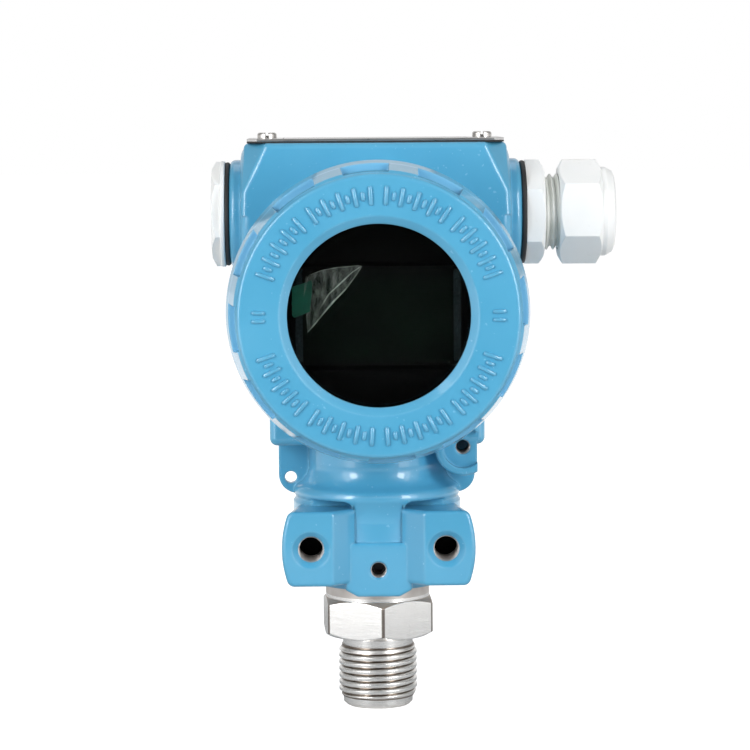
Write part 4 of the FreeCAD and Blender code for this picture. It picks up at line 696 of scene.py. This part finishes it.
def tick(bm, angle, radii, half_width):
    """A raised bar with sloping sides and cut corners, along a radius of the cover's face."""
    out = Vector((math.sin(angle), 0, math.cos(angle)))
    side = Vector((math.cos(angle), 0, -math.sin(angle)))
    rows = []
    for level, shrink in TICK_LEVELS:
        a, b, w = radii[0] + shrink, radii[1] - shrink, half_width - shrink * 0.8
        cut = min(0.3 * MM, w * 0.6)
        outline = (
            (a, -w + cut), (a + cut, -w), (b - cut, -w), (b, -w + cut),
            (b, w - cut), (b - cut, w), (a + cut, w), (a, w - cut),
        )
        front = face_centre + Vector((0, -level, 0))
        rows.append([bm.verts.new(front + out * along_it + side * across) for along_it, across in outline])
    grid_faces(bm, rows, close_columns=True)
    bm.faces.new(rows[0])
    bm.faces.new(rows[-1])


def cover_ticks(bm):
    """Two arcs of long and short ticks, and a pair of dashes at either side between them."""
    for middle in (0.0, math.pi):
        for k in range(TICKS_PER_ARC):
            if k % TICKS_PER_GROUP == TICKS_PER_GROUP - 1:
                continue
            angle = middle + (k - (TICKS_PER_ARC - 1) / 2) * TICK_STEP
            tick(bm, angle, LONG_TICK if k % 2 == 0 else SHORT_TICK, TICK_HALF_WIDTH)
    for side in (-1, 1):
        for turn in DASH_TURNS:
            tick(bm, side * math.pi / 2 + turn, SIDE_DASH, DASH_HALF_WIDTH)


piece("cover_ticks", mesh_from("cover_ticks", cover_ticks), "front_cover", paint, sharp=math.radians(50))


# ---------------------------------------------------------------- protective film and its tab
display_low, display_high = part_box("lcd_panel")
FILM_GAP = 0.08 * MM  # between the display and the middle of the film
FILM_RISE = 1.4 * MM  # of the film's centre above the panel's
FILM_CENTRE = Vector((0, display_low.y - FILM_GAP, (display_low.z + display_high.z) / 2 + FILM_RISE))


def film_point(x, z, lift):
    """A place on the film: X and Z in millimetres from its centre, lift in millimetres off the display."""
    return FILM_CENTRE + Vector((x, -lift, z)) * MM


def along(points, share):
    """The point at a share of the length of a polyline of (x, z) points."""
    lengths = [math.dist(a, b) for a, b in zip(points, points[1:])]
    target = share * sum(lengths)
    for (a, b), length in zip(zip(points, points[1:]), lengths):
        if target <= length:
            t = target / length
            return (a[0] + (b[0] - a[0]) * t, a[1] + (b[1] - a[1]) * t)
        target -= length
    return points[-1]


# Places on the film, as (x, z) in millimetres from its centre
FILM_RIGHT, FILM_BOTTOM = 20.6, -13.9
FOLD = [(-3.8, 11.6), (-5.9, 8.5), (-8.2, 5.5), (-11.9, 1.8), (-15.5, -2.6), (-18.0, -5.5)]
OUTER = [(-3.8, 11.6), (-10.5, 11.1), (-14.6, 10.3), (-18.5, 8.6), (-18.9, 4.0), (-18.3, 0.2), (-18.0, -5.5)]
MIDDLE_FOLD = [(-3.9, 11.5), (-6.8, 9.6), (-11.2, 5.5), (-12.5, 4.3), (-14.5, 1.0)]
FILM_LIFT = 3.2
FILM_RIPPLE = 0.25
SHEET_THICKNESS = 0.05 * MM


def flap_lift(u, v):
    """How far the lifted corner stands off the display, in millimetres."""
    curl = FILM_LIFT * math.sin(math.pi * min(1, max(0, u))) ** 0.8 * v ** 0.8
    return curl + FILM_RIPPLE * math.sin(9 * u) * v * (1 - v)


def flap_place(u, v):
    """A place on the lifted corner: u runs along the fold, v from the fold to the film's free edge."""
    fold, outer = along(FOLD, u), along(OUTER, u)
    x, z = (a + (b - a) * v for a, b in zip(fold, outer))
    return film_point(x, z, flap_lift(u, v))


def film(bm):
    """The lifted corner, and the flat rest of the film down to the window's edges."""
    across, down = 14, 36
    rows = [
        [bm.verts.new(flap_place(i / down, j / across)) for j in range(across + 1)]
        for i in range(1, down)
    ]
    first = bm.verts.new(flap_place(0, 0))
    last = bm.verts.new(flap_place(1, 0))
    grid_faces(bm, rows)
    for j in range(across):
        bm.faces.new((first, rows[0][j], rows[0][j + 1]))
        bm.faces.new((last, rows[-1][j + 1], rows[-1][j]))
    edge = [first] + [row[0] for row in rows] + [last]
    left, top = FOLD[-1][0], FOLD[0][1]
    corners = [(left, FILM_BOTTOM), (FILM_RIGHT, FILM_BOTTOM), (FILM_RIGHT, top)]
    bm.faces.new(list(reversed(edge)) + [bm.verts.new(film_point(x, z, 0)) for x, z in reversed(corners)])


# the lifted corner's whitish streaks: partly the film's haze, partly painted sheen
film_lifted_sheen = film_material("film_lifted_sheen", 0.012, 0.16)
film_piece = piece("protective_sheet", mesh_from("protective_sheet", film), "housing", film_lifted_sheen)
film_piece.data.materials.append(SLOT_MATERIALS["film"])
largest = max(film_piece.data.polygons, key=lambda polygon: polygon.area)
largest.material_index = 1
thickness = film_piece.modifiers.new("thickness", "SOLIDIFY")
thickness.thickness = SHEET_THICKNESS
thickness.offset = 0
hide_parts("protective_film")


def crease(bm, points, width, lift):
    """A thin raised ridge along a polyline on the film, tapered to both ends."""
    count, look = 28, 0.02
    rows = []
    for i in range(count + 1):
        share = i / count
        here = along(points, share)
        ahead = along(points, min(1, share + look))
        behind = along(points, max(0, share - look))
        way = Vector((ahead[0] - behind[0], ahead[1] - behind[1])).normalized()
        half = width / 2 * (0.12 + math.sin(math.pi * share) ** 0.7 * (0.8 + 0.2 * math.sin(17 * share)))
        height = lift * math.sin(math.pi * share)
        base = [
            (here[0] - way.y * half, here[1] + way.x * half, height),
            (here[0], here[1], height + half * 1.2),
            (here[0] + way.y * half, here[1] - way.x * half, height),
            (here[0], here[1], height - half * 0.3),
        ]
        rows.append([bm.verts.new(film_point(*place)) for place in base])
    grid_faces(bm, rows, close_columns=True)
    bm.faces.new(rows[0])
    bm.faces.new(rows[-1])


def creases(bm):
    """Each crease: its line on the film, its width and how far its middle stands off, in millimetres."""
    crease(bm, list(reversed(FOLD))[:4] + [(-9.9, 3.8), (-8.2, 5.6)], 0.42, 0.5)
    crease(bm, MIDDLE_FOLD, 0.26, 1.4)
    crease(bm, FOLD[:3] + [(-9.4, 4.2)], 0.14, 0.4)
    crease(bm, OUTER[:4], 0.12, 2.2)


# painted highlight: bright, nearly opaque film along the creases
crease_highlight_film = film_material("film_crease_highlight", 0.30, 0.95)
piece("film_creases", mesh_from("film_creases", creases), "housing", crease_highlight_film)

TAB = [
    (-20.9, 6.6), (-19.2, 7.1), (-16.8, 8.0), (-16.7, 5.3), (-17.3, 0.1),
    (-19.8, -1.0), (-21.3, -1.5), (-21.8, -0.9), (-21.8, 6.3),
]


TAB_THICKNESS = 0.15
TAB_LEFT_LIFT, TAB_BEND = 2.3, 0.05


def pull_tab(bm):
    """The tab: a thin sheet stuck on the lifted corner, bent with it."""

    def lift(x):
        return TAB_LEFT_LIFT + TAB_BEND * (x + 22) ** 1.6

    front = [bm.verts.new(film_point(x, z, lift(x) + TAB_THICKNESS)) for x, z in TAB]
    back = [bm.verts.new(film_point(x, z, lift(x))) for x, z in TAB]
    grid_faces(bm, [front, back], close_columns=True)
    bm.faces.new(front)
    bm.faces.new(back)


tab_piece = piece("green_pull_tab", mesh_from("green_pull_tab", pull_tab), "housing", green_tab)
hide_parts("film_pull_tab")


# ---------------------------------------------------------------- floor, light and camera
def light_path(tree, name):
    return node(tree, "ShaderNodeLightPath").outputs[name]


FLOOR_HALF, FLOOR_FRONT = 6.0, -0.32
MIRRORED_FROM = (0.15, 0.34)  # from the object, in metres, where reflections turn to the white floor


def floor_material():
    """White to the camera, and in reflections from some way off, but for the object's shadow."""
    made = bpy.data.materials.new("floor_white")
    made.use_nodes = True
    tree = made.node_tree
    tree.nodes.clear()
    grain = noise(tree, object_place(tree), 0.4, 2)
    tone = mixed(tree, grain, grey(0.62), grey(0.68))
    plain = node(tree, "ShaderNodeBsdfDiffuse", {"Color": tone}).outputs[0]
    soft = node(tree, "ShaderNodeBsdfDiffuse", {"Color": grey(0.5)}).outputs[0]
    glow = node(tree, "ShaderNodeEmission", {"Color": grey(1), "Strength": 0.92}).outputs[0]
    lit = node(tree, "ShaderNodeAddShader", {0: soft, 1: glow}).outputs[0]
    distance = node(tree, "ShaderNodeVectorMath", {0: object_place(tree)}, operation="LENGTH").outputs["Value"]
    far = remap(tree, distance, *MIRRORED_FROM)
    mirrored = maths(tree, "MULTIPLY", light_path(tree, "Is Glossy Ray"), far)
    seen = maths(
        tree, "MAXIMUM", light_path(tree, "Is Camera Ray"),
        maths(tree, "MAXIMUM", mirrored, light_path(tree, "Is Transmission Ray")),
    )
    both = node(tree, "ShaderNodeMixShader", {0: seen, 1: plain, 2: lit}).outputs[0]
    node(tree, "ShaderNodeOutputMaterial", {0: both})
    return made


def floor_sheet(bm):
    """The floor ends a little way in front of the object, so that the window mirrors the dark room there."""
    level = cad_box[0].z - 0.05 * MM
    corners = [(-1, FLOOR_FRONT), (1, FLOOR_FRONT), (1, FLOOR_HALF), (-1, FLOOR_HALF)]
    bm.faces.new([bm.verts.new((side * FLOOR_HALF, y, level)) for side, y in corners])


floor_mesh = mesh_from("floor", floor_sheet)
floor = bpy.data.objects.new("floor", floor_mesh)
scene.collection.objects.link(floor)
floor_mesh.materials.append(floor_material())


def studio_world():
    """A white backdrop for the camera, its mirror image for reflections, and a plain fill for the rest.

    The mirror image is pale behind the object and at its front corners, dim at its sides and overhead, and
    dark straight in front.
    """
    world = bpy.data.worlds.new("studio")
    scene.world = world
    world.use_nodes = True
    tree = world.node_tree
    tree.nodes.clear()
    place = node(tree, "ShaderNodeTexCoord").outputs["Generated"]
    split = node(tree, "ShaderNodeSeparateXYZ", {"Vector": place})
    ahead = maths(tree, "MULTIPLY", split.outputs[1], -1.0)
    ramp = node(tree, "ShaderNodeValToRGB", {0: remap(tree, ahead, -1, 1)})
    stops = [  # (place from straight behind at 0 to straight in front at 1, grey)
        (0.0, 0.8), (0.11, 0.8), (0.17, 0.36), (0.48, 0.30), (0.60, 0.92),
        (0.75, 1.0), (0.86, 0.80), (0.93, 0.40), (0.965, 0.08), (1.0, 0.0),
    ]
    elements = ramp.color_ramp.elements
    elements[0].color, elements[1].color = grey(stops[0][1]), grey(stops[-1][1])
    for position, value in stops[1:-1]:
        elements.new(position).color = grey(value)
    seen = node(tree, "ShaderNodeBackground", {"Color": grey(1), "Strength": 1.0}).outputs[0]
    room = mixed(tree, remap(tree, split.outputs[2], 0.45, 0.8), ramp.outputs[0], grey(0.22))
    mirrored = node(tree, "ShaderNodeBackground", {"Color": room, "Strength": 1.0}).outputs[0]
    fill = node(tree, "ShaderNodeBackground", {"Color": (0.97, 0.985, 1, 1), "Strength": 0.27}).outputs[0]
    shiny = maths(tree, "MAXIMUM", light_path(tree, "Is Glossy Ray"), light_path(tree, "Is Transmission Ray"))
    rest = node(tree, "ShaderNodeMixShader", {0: shiny, 1: fill, 2: mirrored}).outputs[0]
    direct = light_path(tree, "Is Camera Ray")
    whole = node(tree, "ShaderNodeMixShader", {0: direct, 1: rest, 2: seen}).outputs[0]
    node(tree, "ShaderNodeOutputWorld", {0: whole})


studio_world()
LIT_POINT = Vector((0, 0, 90 * MM))


def away_from_object(azimuth, elevation):
    """The direction from the object at an azimuth (0 is the front, 90 its right) and an elevation in degrees."""
    a, e = math.radians(azimuth), math.radians(elevation)
    return Vector((math.sin(a) * math.cos(e), -math.cos(a) * math.cos(e), math.sin(e)))


def softbox(name, azimuth, elevation, distance, width, height, radiance):
    """A soft light aimed at the object. Its radiance is that of a white surface of the same brightness."""
    data = bpy.data.lights.new(name, "AREA")
    data.shape = "RECTANGLE"
    data.size, data.size_y = width, height
    data.energy = radiance * math.pi * width * height
    lamp = bpy.data.objects.new(name, data)
    scene.collection.objects.link(lamp)
    away = away_from_object(azimuth, elevation)
    lamp.location = LIT_POINT + away * distance
    lamp.rotation_mode = "QUATERNION"
    lamp.rotation_quaternion = (-away).to_track_quat("-Z", "Y")


softbox("softbox_left", -48, 17, 0.80, 0.34, 0.90, 2.3)
softbox("softbox_right", 46, 17, 0.80, 0.32, 0.90, 2.3)
softbox("softbox_back", 180, 62, 0.80, 0.60, 0.40, 1.2)
softbox("strip_left", -40, 15, 0.79, 0.17, 0.50, 9.0)
softbox("strip_right", 40, 15, 0.79, 0.17, 0.50, 9.0)

CAMERA_AZIMUTH, CAMERA_ELEVATION, CAMERA_ROLL = -0.93, 5.37, -0.39  # degrees
CAMERA_DISTANCE = 0.770
CAMERA_TARGET = Vector((-0.29 * MM, 0, 88.8 * MM))
camera_data = bpy.data.cameras.new("camera")
camera_data.sensor_width = 36
camera_data.lens = 138.24
camera_data.clip_start = 0.05
camera_data.clip_end = 50
camera = bpy.data.objects.new("camera", camera_data)
scene.collection.objects.link(camera)
away = away_from_object(CAMERA_AZIMUTH, CAMERA_ELEVATION)
camera.location = CAMERA_TARGET + away * CAMERA_DISTANCE
camera.rotation_mode = "QUATERNION"
roll = Matrix.Rotation(math.radians(CAMERA_ROLL), 3, "Z")
turn = (-away).to_track_quat("-Z", "Y").to_matrix() @ roll
camera.rotation_quaternion = turn.to_quaternion()
scene.camera = camera
scene.view_settings.view_transform = "Standard"
